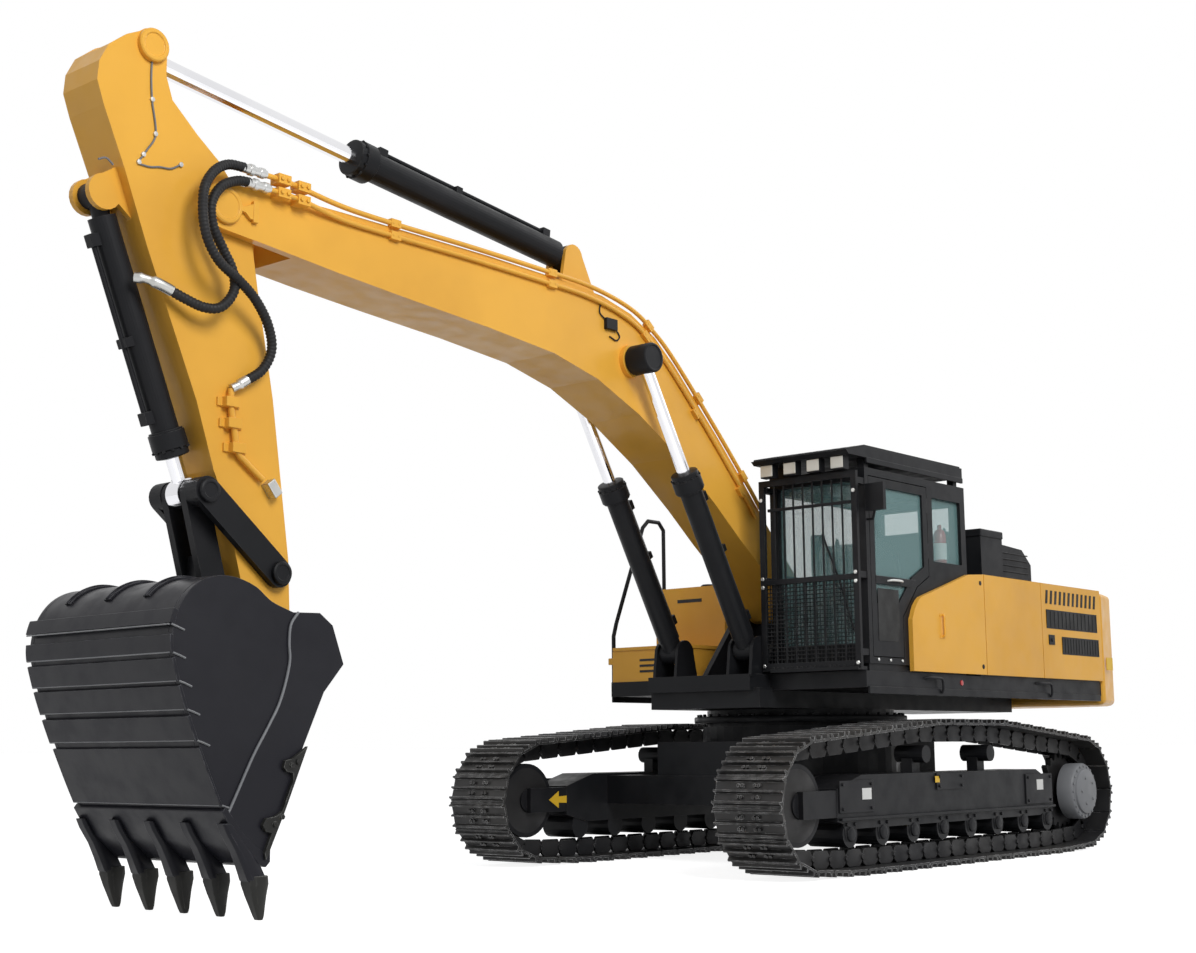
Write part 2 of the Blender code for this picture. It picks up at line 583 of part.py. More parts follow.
def roof_guard(x0, x1, y0, y1):
    """The sloped roof guard on its four posts, with a row of work lamps under its front edge."""
    low, high = ROOF_GUARD_Z
    outline = [(x0 + 0.02, low), (ROOF_GUARD_FRONT - 0.04, low), (ROOF_GUARD_FRONT, low + 0.03),
               (ROOF_GUARD_FRONT - 0.30, high), (x0 + 0.02, high)]
    add = []
    for x in (x0 + 0.05, x1 - 0.12):
        for y in (y0 + 0.04, y1 - 0.10):
            add.append(box_mesh((x, x + 0.06), (y, y + 0.06), (CAB_Z[1] + GAP, low + 0.01)))
    lamp_x = (ROOF_GUARD_FRONT - 0.13, ROOF_GUARD_FRONT - 0.05)
    for i in range(LAMP_COUNT):
        y = y0 + 0.06 + i * (y1 - y0 - 0.24) / (LAMP_COUNT - 1)
        add.append(box_mesh(lamp_x, (y, y + 0.12), (low - 0.11, low + 0.01)))
    piece("roof_guard", "upper", BLACK, plate_mesh(outline, (y0, y1)), add=add)


def front_guard(x1, y0, y1):
    """The frame before the windscreen, in two panes, with its upright bars and the feet it stands off on."""
    inner_y = (y0 + 0.03, y1 - 0.05)
    low, split, high = GUARD_PANES
    deep = (GUARD_X - 0.1, GUARD_X + 0.1)
    cuts = [box_mesh(deep, inner_y, (low, split - 0.02)), box_mesh(deep, inner_y, (split + 0.02, high))]
    frame = box_mesh((GUARD_X, GUARD_X + 0.03), (y0 - 0.02, y1), (low - 0.06, high + 0.05))
    obj = piece("front_guard", "upper", BLACK, frame, cut=cuts)
    add = []
    for i in range(1, BAR_COUNT + 1):
        y = inner_y[0] + (inner_y[1] - inner_y[0]) * i / (BAR_COUNT + 1)
        add.append(box_mesh((GUARD_X + 0.009, GUARD_X + 0.021), (y - 0.006, y + 0.006), (low - 0.01, high + 0.01)))
    for y in (y0 + 0.005, y1 - 0.045):
        for z in (low + 0.04, split - 0.01, high - 0.05):
            add.append(box_mesh((x1 + GAP, GUARD_X + 0.01), (y, y + 0.04), (z, z + 0.05)))
    combine(obj, "upper", add, "UNION")


def mirror(x1, y1):
    """The mirror at the cab's front left corner, on its bent tube."""
    glass = box_mesh((x1 - 0.02, x1 + 0.02), (y1 + 0.012, y1 + 0.18), (2.80, 3.02))
    arm = tube_mesh([(x1 - 0.03, y1 + GAP, 2.74), (x1 - 0.03, y1 + 0.05, 2.74), (x1, y1 + 0.10, 2.84)], 0.010, 8)
    piece("cab_mirror", "upper", BLACK, glass, add=[arm])


def inside(floor, y0, y1):
    """The seat and the two consoles on the cab floor."""
    middle = (y0 + y1) / 2
    seat = [(-0.10, floor), (0.42, floor), (0.42, floor + 0.30), (0.50, floor + 0.34), (0.50, floor + 0.44),
            (0.02, floor + 0.42), (-0.16, floor + 1.10), (-0.26, floor + 1.08), (-0.12, floor + 0.36)]
    piece("seat", "upper", FABRIC, plate_mesh(seat, (middle - 0.24, middle + 0.24)))
    add = []
    for sign in (1, -1):
        y = sorted((middle + sign * 0.26, middle + sign * 0.36))
        add.append(rod_mesh((0.42, sum(y) / 2, floor + 0.60), (0.47, sum(y) / 2, floor + 0.85), 0.025, sides=12))
        add.append(box_mesh((-0.10, 0.50), y, (floor, floor + 0.62)))
    base = box_mesh((0.43, 0.55), (middle - 0.30, middle + 0.30), (floor, floor + 0.10))
    piece("consoles", "upper", BLACK, base, add=add)


# ---------------------------------------------------------------- boom, arm and bucket

def boom():
    """The mono boom: a bent box girder, forked at its tip round the arm."""
    lower = [(0.62, 2.26), (1.20, 2.68), (1.52, 2.93), (2.00, 3.27), (2.50, 3.55), (3.00, 3.76), (3.50, 3.88),
             (4.20, 3.95), (5.00, 4.01), (5.60, 4.06), (6.20, 4.12)]
    upper = [(6.20, 4.47), (5.60, 4.48), (4.20, 4.48), (3.40, 4.46), (2.95, 4.43), (2.60, 4.35), (2.30, 4.21),
             (2.05, 4.02), (1.82, 3.81), (1.48, 3.50), (1.14, 3.17), (0.60, 2.63), (0.34, 2.38)]
    outline = arc(BOOM_FOOT, 0.17, 75, 300, 14) + lower + arc(BOOM_TIP, 0.15, -90, 90, 11) + upper
    fork = [(FORK_X, 3.8), (7.0, 3.8), (7.0, 4.8), (FORK_X, 4.8)]
    add = []
    for y in both((BOOM_HALF - 0.01, BOOM_CYL_Y - 0.092 - PIN_GAP)):
        add.append(disc(BOOM_CYL_EYE, y, 0.13))
    lug = [(2.80, 4.38), (3.26, 4.42)] + arc(ARM_CYL_FOOT, 0.10, 10, 170, 10)
    for y in both((0.066, 0.096)):
        add.append(plate_mesh(lug, y))
    cuts = [plate_mesh(fork, (-ARM_HALF - SLIDE, ARM_HALF + SLIDE)),
            disc(BOOM_FOOT, (-0.5, 0.5), BIG_PIN + PIN_GAP)]
    obj = piece("boom", "boom", YELLOW, plate_mesh(outline, (-BOOM_HALF, BOOM_HALF)), add=add, cut=cuts)
    pins = [disc(BOOM_TIP, (-BOOM_HALF + 0.01, BOOM_HALF - 0.01), BIG_PIN), disc(ARM_CYL_FOOT, (-0.08, 0.08), PIN)]
    combine(obj, "boom", pins, "UNION")


def arm():
    """The arm: a tapering box, with a pocket in its head for the rod's eye and ears for the bucket cylinder."""
    rear = [(5.905, 1.66), (5.93, 2.14), (6.08, 3.15), (6.22, 3.84), (6.27, 4.12), (6.40, 4.44), (6.54, 4.60),
            (6.71, 4.73), (6.90, 4.90), (6.95, 5.04)]
    head = arc(ARM_CYL_EYE, 0.11, 180, 40, 9)
    front = [(7.24, 5.22), (7.36, 5.12), (7.42, 5.00), (7.43, 4.88), (7.38, 4.74), (7.22, 4.38), (7.05, 3.95),
             (6.66, 3.06), (6.52, 2.65), (6.43, 2.46), (6.27, 1.90), (6.19, 1.58)]
    tip = arc(BUCKET_PIN, 0.14, 10, -170, 12)
    t = ARM_PLATE
    pocket = [(6.40, 4.62), (6.87, 4.882), (7.11, 4.882), (7.25, 4.96), (7.345, 5.05), (7.35, 5.61), (6.40, 5.61)]
    add = [plate_mesh([(7.00, 4.02), (7.16, 4.46), *arc(BUCKET_CYL_FOOT, 0.11, 80, -150, 14)], y)
           for y in both((0.066, 0.106))]
    cuts = [plate_mesh(pocket, (-ARM_HALF + t, ARM_HALF - t)),
            disc(ROCKER_PIN, (-0.5, 0.5), PIN + PIN_GAP),
            disc(BUCKET_PIN, (-0.5, 0.5), PIN + PIN_GAP),
            disc(BOOM_TIP, (-0.5, 0.5), BIG_PIN + PIN_GAP),
            disc(BUCKET_CYL_FOOT, (-0.066, 0.066), 0.15)]
    obj = piece("arm", "arm", YELLOW, plate_mesh(rear + head + front + tip, (-ARM_HALF, ARM_HALF)), add=add, cut=cuts)
    combine(obj, "arm", [disc(BUCKET_CYL_FOOT, (-0.09, 0.09), PIN)], "UNION")


def bucket():
    """The digging bucket: side plates, a rolled back, a lip, hinge ears and five teeth."""
    shell = [(5.94, 1.47), (6.03, 1.70), (6.13, 1.77), (6.30, 1.76), (6.50, 1.83), (6.66, 1.93), (6.84, 1.955),
             (6.96, 1.92), (7.06, 1.86), (7.14, 1.73), (7.17, 1.57), (7.145, 1.42), (7.07, 1.22), (6.93, 0.89),
             (6.79, 0.61), (6.66, 0.42), (6.515, 0.36), (6.25, 0.96), (6.09, 1.30)]
    mouth = [(6.42, 0.30), (6.56, 0.45), (6.72, 0.66), (6.87, 0.93), (7.01, 1.25), (7.085, 1.44), (7.11, 1.57),
             (7.08, 1.70), (7.01, 1.80), (6.92, 1.86), (6.82, 1.89), (6.68, 1.87), (6.52, 1.77), (6.32, 1.69),
             (5.6, 1.69), (5.6, 0.60)]
    t = BUCKET_PLATE
    ear_gap = ARM_HALF + SLIDE
    ears = arc(BUCKET_LINK_PIN, 0.10, 45, 150, 7) + arc(BUCKET_PIN, 0.15, 120, 300, 12) + [(6.45, 1.55), (6.62, 1.86)]
    ear_plates = [plate_mesh(ears, y) for y in both((ear_gap, ear_gap + 0.06))]
    cuts = [plate_mesh(mouth, (-BUCKET_HALF + t, BUCKET_HALF - t)),
            box_mesh((5.5, 6.345), (-ear_gap, ear_gap), (1.0, 2.2)),
            disc(BUCKET_LINK_PIN, (-ear_gap, ear_gap), 0.10)]
    obj = piece("bucket", "bucket", STEEL, plate_mesh(shell, (-BUCKET_HALF, BUCKET_HALF)), cut=cuts)
    teeth = []
    tooth = [(6.38, 0.50), (6.60, 0.46), (6.63, 0.26), (6.555, TOOTH_TIP_Z), (6.50, TOOTH_TIP_Z), (6.43, 0.24)]
    for i in range(TOOTH_COUNT):
        y = -TOOTH_SPAN + 2 * TOOTH_SPAN * i / (TOOTH_COUNT - 1)
        teeth.append(plate_mesh(tooth, (y - 0.05, y + 0.05)))
    shaft = disc(BUCKET_PIN, (-ARM_HALF - 0.04, ARM_HALF + 0.04), PIN)
    combine(obj, "bucket", [*ear_plates, *teeth, shaft], "UNION")


def linkage():
    """The rocker's two plates on their pin through the arm, and the link between rocker and bucket."""
    def strap(a, b, radius):
        """A straight strap with round ends about two pins."""
        turn = math.degrees(math.atan2(b[1] - a[1], b[0] - a[0]))
        return arc(a, radius, turn + 90, turn + 270, 12) + arc(b, radius, turn - 90, turn + 90, 12)

    plates = [plate_mesh(strap(ROCKER_PIN, LINK_PIN, 0.09), y) for y in both((ARM_HALF + SLIDE, ARM_HALF + 0.06))]
    stubs = [disc(LINK_PIN, y, 0.09) for y in both((0.122 + PIN_GAP, ARM_HALF + 0.01))]
    shaft = disc(ROCKER_PIN, (-ARM_HALF - 0.05, ARM_HALF + 0.05), PIN)
    piece("rocker", "rocker", BLACK, shaft, add=plates + stubs)
    sides = [plate_mesh(strap(BUCKET_LINK_PIN, LINK_PIN, 0.085), y) for y in both((0.068, 0.122))]
    bridge = box_mesh((BUCKET_LINK_PIN[0], BUCKET_LINK_PIN[0] + 0.09), (-0.10, 0.10), (2.00, 2.14))
    stub = [disc(BUCKET_LINK_PIN, y, 0.085) for y in both((0.12, ARM_HALF + SLIDE - PIN_GAP))]
    piece("bucket_link", "link", BLACK, sides[0], add=[bridge, sides[1], *stub])


def cylinder(name, foot, eye, y, sizes, body, rod_body):
    """A hydraulic cylinder from its foot pin to its rod's eye: the barrel, and the rod that slides in it."""
    a, b = Vector(pin(foot, y)), Vector(pin(eye, y))
    way = (b - a).normalized()
    bore, rod, half, gland, hollow, inner_end, pin_radius, stub = sizes
    neck = a + way * gland
    barrel = rod_mesh(a + way * 0.135, neck, bore)
    collar = rod_mesh(neck - way * 0.16, neck, bore * 1.22)
    knuckle = [disc(foot, (y - half, y + half), bore * 0.95), rod_mesh(a + way * 0.05, a + way * 0.15, half * 0.9)]
    cuts = [rod_mesh(a + way * hollow, neck + way * 0.05, rod + PIN_GAP, sides=24),
            disc(foot, (y - 0.5, y + 0.5), pin_radius + PIN_GAP)]
    piece(name + "_barrel", body, BLACK, barrel, add=[collar, *knuckle], cut=cuts)
    end = [disc(eye, (y - half, y + half), rod * 1.9), disc(eye, (y - stub, y + stub), PIN)]
    shaft = rod_mesh(a + way * inner_end, b, rod, sides=24)
    piece(name + "_rod", rod_body, CHROME, shaft, add=end)


def cylinders():
    """The four hydraulic cylinders."""
    # bore radius, rod radius, half width of an eye, gland, start of the bore, inner end of the rod, foot pin, eye pin
    boom_sizes = (0.092, 0.052, 0.092, 1.60, 0.13, 0.86, PIN - 0.01, 0.09)
    arm_sizes = (0.105, 0.060, 0.062, 2.22, 0.20, 1.785, PIN, ARM_HALF - ARM_PLATE - PIN_GAP)
    bucket_sizes = (0.085, 0.050, 0.062, 1.62, 0.20, 0.45, PIN, 0.068 - PIN_GAP)
    for side, sign in (("left", 1), ("right", -1)):
        cylinder(side + "_boom_cylinder", BOOM_CYL_FOOT, BOOM_CYL_EYE, sign * BOOM_CYL_Y, boom_sizes,
                 side + "_boom_barrel", side + "_boom_rod")
    cylinder("arm_cylinder", ARM_CYL_FOOT, ARM_CYL_EYE, 0.0, arm_sizes, "arm_barrel", "arm_rod")
    cylinder("bucket_cylinder", BUCKET_CYL_FOOT, LINK_PIN, 0.0, bucket_sizes, "bucket_barrel", "bucket_rod")


undercarriage()
upper_frame()
counterweight()
engine_house()
side_doors()
hood_and_top()
right_front()
cab()
boom()
arm()
bucket()
linkage()
cylinders()
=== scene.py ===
"""Looks for a crawler excavator: finishes, wear and the small parts that its CAD solids leave out.

Places are written in the machine's own frame, in metres: X runs forward from the swing axis, Y to the
operator's left, Z up from the ground under the tracks. Each piece is moved into the row's frame as it is made.
"""

import json
import logging
import math
from dataclasses import dataclass, field
from enum import Enum
from typing import Iterable, Optional, Sequence

import bmesh
import bpy
import numpy as np
from mathutils import Euler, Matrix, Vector

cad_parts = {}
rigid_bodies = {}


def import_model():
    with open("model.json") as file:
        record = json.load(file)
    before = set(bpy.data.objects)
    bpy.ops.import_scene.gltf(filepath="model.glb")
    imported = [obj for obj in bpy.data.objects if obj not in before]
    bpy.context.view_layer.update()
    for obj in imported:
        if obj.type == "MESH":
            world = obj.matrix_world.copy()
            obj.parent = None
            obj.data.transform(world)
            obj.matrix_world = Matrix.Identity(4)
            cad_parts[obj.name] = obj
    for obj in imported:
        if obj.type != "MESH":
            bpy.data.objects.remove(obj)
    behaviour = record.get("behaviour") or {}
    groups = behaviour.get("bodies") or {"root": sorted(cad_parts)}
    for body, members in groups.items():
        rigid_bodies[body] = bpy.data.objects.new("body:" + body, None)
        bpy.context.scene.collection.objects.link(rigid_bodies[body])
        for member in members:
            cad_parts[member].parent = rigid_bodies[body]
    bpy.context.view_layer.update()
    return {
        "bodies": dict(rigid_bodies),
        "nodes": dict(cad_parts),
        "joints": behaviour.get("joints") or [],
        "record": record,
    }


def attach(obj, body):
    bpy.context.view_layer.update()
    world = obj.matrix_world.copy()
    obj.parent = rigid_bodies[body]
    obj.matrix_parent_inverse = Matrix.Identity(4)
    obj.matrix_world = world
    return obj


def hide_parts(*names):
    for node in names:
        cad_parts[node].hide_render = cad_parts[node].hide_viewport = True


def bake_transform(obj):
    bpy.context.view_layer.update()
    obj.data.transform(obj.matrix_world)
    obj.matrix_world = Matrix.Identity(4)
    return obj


LOG = logging.getLogger("excavator")
CENTRE_X = 1.84  # the swing axis lies this far behind the row's origin
BEVEL_ANGLE = 40.0  # edges sharper than this, in degrees, are rounded
GAUGE = 2.70  # between the middles of the tracks
BOOM_HALF = 0.25  # from the machine's middle to the boom's side
ARM_HALF = 0.18  # from the machine's middle to the arm's side
BOOM_CYL_Y = 0.385  # from the machine's middle to a boom cylinder

# Pins: X and Z.
BOOM_FOOT = (0.28, 2.20)
BOOM_TIP = (6.54, 4.30)
BOOM_CYL_FOOT = (1.30, 1.74)
BOOM_CYL_EYE = (2.62, 3.96)
ARM_CYL_FOOT = (3.10, 4.74)
ARM_CYL_EYE = (7.06, 5.20)
BUCKET_CYL_FOOT = (7.30, 4.24)
ROCKER_PIN = (6.04, 2.05)
LINK_PIN = (6.60, 2.51)
BUCKET_PIN = (6.05, 1.52)
BUCKET_LINK_PIN = (6.42, 1.87)

Array = np.ndarray


# ------------------------------------------------------------------ surfaces

@dataclass
class Skin:
    """A surface as arrays: its points and its faces.

    Attributes:
        points: one row of X, Y, Z for each vertex.
        faces: one tuple of vertex numbers for each face.
    """

    points: Array
    faces: list

    def plus(self, *others: "Skin") -> "Skin":
        """Returns this surface and others as one."""
        points, faces = [self.points], list(self.faces)
        offset = len(self.points)
        for other in others:
            points.append(other.points)
            faces += [tuple(i + offset for i in face) for face in other.faces]
            offset += len(other.points)
        return Skin(np.vstack(points), faces)

    def moved(self, step: Sequence[float]) -> "Skin":
        """Returns a copy moved by a step."""
        return Skin(self.points + np.asarray(step, float), self.faces)

    def mirrored(self) -> "Skin":
        """Returns a copy on the other side of the machine, with its faces turned back outward."""
        return Skin(self.points * (1, -1, 1), [face[::-1] for face in self.faces])

    def paired(self) -> "Skin":
        """Returns this surface and its mirror image as one."""
        return self.plus(self.mirrored())

    def on_side(self, sign: int) -> "Skin":
        """Returns this surface for the left side, or its mirror image where the sign is below 0."""
        return self if sign > 0 else self.mirrored()

    def copies(self, turns: Array, places: Array) -> "Skin":
        """Repeats the surface: copy k is turn k times each point, plus place k.

        Args:
            turns: one 3 x 3 matrix for each copy.
            places: one point for each copy.

        Returns:
            All copies as one surface.
        """
        points = np.einsum("kij,nj->kni", turns, self.points) + places[:, None, :]
        count = len(self.points)
        faces = [tuple(i + k * count for i in face) for k in range(len(places)) for face in self.faces]
        return Skin(points.reshape(-1, 3), faces)

    def at(self, places: Iterable[Sequence[float]]) -> "Skin":
        """Repeats the surface, unturned, at each place."""
        spots = np.asarray(list(places), float)
        return self.copies(np.broadcast_to(np.eye(3), (len(spots), 3, 3)), spots)


def joined(skins: Iterable[Skin]) -> Skin:
    """Returns several surfaces as one, in their order."""
    first, *rest = skins
    return first.plus(*rest)


def at_pin(pin: Sequence[float], y: float) -> tuple:
    """Returns the point on a pin's axis that lies at a place across the machine."""
    return pin[0], y, pin[1]


def loft(rings: Array, around: bool = True, ends: bool = True) -> Skin:
    """Joins rings of points into a skin: ring i, point j meets ring i + 1, point j + 1.

    Args:
        rings: points of shape (rings, points in a ring, 3).
        around: whether each ring closes on itself.
        ends: whether the first and last rings are capped.

    Returns:
        The surface.
    """
    count, size = rings.shape[:2]
    i, j = np.meshgrid(np.arange(count - 1), np.arange(size if around else size - 1), indexing="ij")
    k = (j + 1) % size
    quads = np.stack([i * size + j, i * size + k, (i + 1) * size + k, (i + 1) * size + j],
                     axis=-1).reshape(-1, 4)
    faces = [tuple(q) for q in quads.tolist()]
    if ends and around:
        faces.append(tuple(range(size))[::-1])
        faces.append(tuple(range((count - 1) * size, count * size)))
    return Skin(rings.reshape(-1, 3), faces)


def prism(outline: Sequence[Sequence[float]], span: Sequence[float], across: int = 1) -> Skin:
    """Carries a flat outline straight along one axis: the point is (u, v) in the other two axes.

    Args:
        outline: corner points in the plane of the other two axes, in X, Y, Z order.
        span: the low and high end along the axis.
        across: the axis it is carried along, 0 for X, 1 for Y or 2 for Z.

    Returns:
        A closed prism.
    """
    flat = np.asarray(outline, float)
    return loft(np.stack([np.insert(flat, across, end, axis=1) for end in span]))


def block(low: Sequence[float], high: Sequence[float]) -> Skin:
    """Returns a box between two corners."""
    (x0, y0, z0), (x1, y1, z1) = low, high
    return prism([(x0, y0), (x1, y0), (x1, y1), (x0, y1)], (z0, z1), 2)


def frames(path: Array) -> tuple[Array, Array]:
    """Finds two unit vectors square to a path at each point, turning as little as possible on the way.

    Args:
        path: the points of the path.

    Returns:
        The two sets of vectors.
    """
    along = np.gradient(path, axis=0)
    along /= np.linalg.norm(along, axis=1)[:, None]
    seed = np.cross(along[0], (0, 0, 1) if abs(along[0][2]) < 0.9 else (0, 1, 0))
    first = [seed / np.linalg.norm(seed)]
    for way in along[1:]:
        turned = first[-1] - way * np.dot(first[-1], way)
        first.append(turned / np.linalg.norm(turned))
    one = np.array(first)
    return one, np.cross(along, one)


def sweep(path: Array, radius: float | Array, sides: int = 12, ends: bool = True) -> Skin:
    """Carries a circle along a path: point = path + r (cos t * one + sin t * two).

    Args:
        path: the centres of the rings.
        radius: one radius, or one for each ring.
        sides: points round each ring.
        ends: whether the ends are capped.

    Returns:
        The tube.
    """
    one, two = frames(path)
    t = np.linspace(0, 2 * np.pi, sides, endpoint=False)
    r = np.broadcast_to(radius, (len(path),))[:, None, None]
    ring = np.cos(t)[None, :, None] * one[:, None, :] + np.sin(t)[None, :, None] * two[:, None, :]
    return loft(path[:, None, :] + r * ring, ends=ends)


def curve(points: Sequence[Sequence[float]], steps: int = 8) -> Array:
    """Runs a smooth curve through points.

    Each stretch is the cubic whose slope at a point is half the chord between the point's neighbours.

    Args:
        points: the points it goes through.
        steps: how many pieces each stretch is cut into.

    Returns:
        The points of the curve.
    """
    p = np.asarray(points, float)
    q = np.vstack([2 * p[0] - p[1], p, 2 * p[-1] - p[-2]])
    t = np.linspace(0, 1, steps, endpoint=False)[None, :, None]
    a, b, c, d = (q[i:len(q) - 3 + i][:, None, :] for i in range(4))
    run = 0.5 * (2 * b + (c - a) * t + (2 * a - 5 * b + 4 * c - d) * t**2 + (3 * b - a - 3 * c + d) * t**3)
    return np.vstack([run.reshape(-1, 3), p[-1:]])


def turned(profile: Sequence[Sequence[float]], centre: Sequence[float], axis: int = 1,
           sides: int = 32) -> Skin:
    """Turns a profile about an axis: point = centre + r (cos t, sin t) square to the axis + h along it.

    Args:
        profile: rows of radius and height along the axis.
        centre: a point on the axis.
        axis: 0 for X, 1 for Y or 2 for Z.
        sides: points round each ring.

    Returns:
        The turned surface, closed at both ends.
    """
    radius, height = np.asarray(profile, float).T
    t = np.linspace(0, 2 * np.pi, sides, endpoint=False)
    if axis == 1:
        t = -t
    ring = np.zeros((len(radius), sides, 3))
    one, two = [k for k in range(3) if k != axis]
    ring[:, :, one] = radius[:, None] * np.cos(t)
    ring[:, :, two] = radius[:, None] * np.sin(t)
    ring[:, :, axis] = height[:, None]
    return loft(ring + np.asarray(centre, float))


# ------------------------------------------------------------------ finishes

@dataclass(frozen=True)
class Finish:
    """A procedural finish: a base colour with slow variation, dust, worn edges and a fine bump.

    Attributes:
        name: the material's name.
        colour: base colour.
        shade: the colour it drifts towards in patches.
        rough: lowest and highest roughness.
        metal: metallic value.
        edge: colour of worn edges, or None.
        edge_width: how far the wear reaches in from an edge.
        dust: how much pale dust lies on upward faces.
        grain: size of the fine bump's features, as a noise scale.
        bump: strength of the fine bump.
        coat: weight of a clear coat.
        gloss: specular level.
    """

    name: str
    colour: tuple
    shade: tuple
    rough: tuple = (0.35, 0.5)
    metal: float = 0.0
    edge: Optional[tuple] = None
    edge_width: float = 0.006
    dust: float = 0.0
    grain: float = 60.0
    bump: float = 0.05
    coat: float = 0.0
    gloss: float = 0.4

    def build(self) -> bpy.types.Material:
        """Makes the material's nodes.

        Returns:
            The material.
        """
        mat = bpy.data.materials.new(self.name)
        mat.use_nodes = True
        nodes, links = mat.node_tree.nodes, mat.node_tree.links
        shader = nodes["Principled BSDF"]
        shader.inputs["Metallic"].default_value = self.metal
        shader.inputs["Coat Weight"].default_value = self.coat
        shader.inputs["Specular IOR Level"].default_value = self.gloss
        place = nodes.new("ShaderNodeTexCoord").outputs["Object"]

        def noise(scale: float, detail: float) -> bpy.types.NodeSocket:
            """Returns a noise value at a scale."""
            node = nodes.new("ShaderNodeTexNoise")
            node.inputs["Scale"].default_value = scale
            node.inputs["Detail"].default_value = detail
            links.new(place, node.inputs["Vector"])
            return node.outputs["Fac"]

        def ranged(value: bpy.types.NodeSocket, source: tuple, target: tuple) -> bpy.types.NodeSocket:
            """Returns a value carried from one range to another, held at its ends."""
            node = nodes.new("ShaderNodeMapRange")
            for name, number in zip(("From Min", "From Max", "To Min", "To Max"), source + target):
                node.inputs[name].default_value = number
            links.new(value, node.inputs["Value"])
            return node.outputs["Result"]

        def mixed(factor: bpy.types.NodeSocket, first: object, second: tuple) -> bpy.types.NodeSocket:
            """Returns a colour mixed by a factor from a socket or colour to another colour."""
            node = nodes.new("ShaderNodeMix")
            node.data_type = "RGBA"
            links.new(factor, node.inputs["Factor"])
            if isinstance(first, tuple):
                node.inputs["A"].default_value = (*first, 1.0)
            else:
                links.new(first, node.inputs["A"])
            node.inputs["B"].default_value = (*second, 1.0)
            return node.outputs["Result"]

        broad = noise(0.9, 4.0)
        colour = mixed(ranged(broad, (0.42, 0.68), (0.0, 1.0)), self.colour, self.shade)
        if self.dust:
            facing = nodes.new("ShaderNodeSeparateXYZ")
            links.new(nodes.new("ShaderNodeNewGeometry").outputs["Normal"], facing.inputs["Vector"])
            lying = nodes.new("ShaderNodeMath")
            lying.operation = "MULTIPLY"
            links.new(ranged(facing.outputs["Z"], (0.3, 1.0), (0.0, self.dust)), lying.inputs[0])
            links.new(ranged(noise(5.0, 6.0), (0.4, 0.7), (0.2, 1.0)), lying.inputs[1])
            colour = mixed(lying.outputs["Value"], colour, DUST)
        if self.edge is not None:
            rounded = nodes.new("ShaderNodeBevel")
            rounded.samples = 4
            rounded.inputs["Radius"].default_value = self.edge_width
            flat = nodes.new("ShaderNodeNewGeometry")
            angle = nodes.new("ShaderNodeVectorMath")
            angle.operation = "DOT_PRODUCT"
            links.new(rounded.outputs["Normal"], angle.inputs[0])
            links.new(flat.outputs["True Normal"], angle.inputs[1])
            worn = nodes.new("ShaderNodeMath")
            worn.operation = "MULTIPLY"
            links.new(ranged(angle.outputs["Value"], (0.97, 0.80), (0.0, 1.0)), worn.inputs[0])
            links.new(ranged(noise(14.0, 5.0), (0.40, 0.60), (0.0, 1.0)), worn.inputs[1])
            colour = mixed(worn.outputs["Value"], colour, self.edge)
        links.new(colour, shader.inputs["Base Color"])
        links.new(ranged(noise(7.0, 5.0), (0.35, 0.65), self.rough), shader.inputs["Roughness"])
        relief = nodes.new("ShaderNodeBump")
        relief.inputs["Strength"].default_value = self.bump
        relief.inputs["Distance"].default_value = 0.002
        links.new(noise(self.grain, 3.0), relief.inputs["Height"])
        links.new(relief.outputs["Normal"], shader.inputs["Normal"])
        return mat


@dataclass(frozen=True)
class Glass:
    """Thin tinted glass for windows."""

    name: str = "window_glass"
    tint: tuple = (0.30, 0.52, 0.52)

    def build(self) -> bpy.types.Material:
        """Returns a dark clear glass: light passes with a tint, and a gloss lies over it."""
        mat = bpy.data.materials.new(self.name)
        mat.use_nodes = True
        nodes, links = mat.node_tree.nodes, mat.node_tree.links
        shader = nodes["Principled BSDF"]
        shader.inputs["Base Color"].default_value = (*self.tint, 1.0)
        shader.inputs["Roughness"].default_value = 0.03
        shader.inputs["IOR"].default_value = 1.45
        shader.inputs["Alpha"].default_value = 0.28
        wave = nodes.new("ShaderNodeTexNoise")
        wave.inputs["Scale"].default_value = 2.0
        links.new(nodes.new("ShaderNodeTexCoord").outputs["Object"], wave.inputs["Vector"])
        relief = nodes.new("ShaderNodeBump")
        relief.inputs["Strength"].default_value = 0.02
        links.new(wave.outputs["Fac"], relief.inputs["Height"])
        links.new(relief.outputs["Normal"], shader.inputs["Normal"])
        return mat


DUST = (0.36, 0.31, 0.24)
BARE_STEEL = (0.42, 0.42, 0.43)


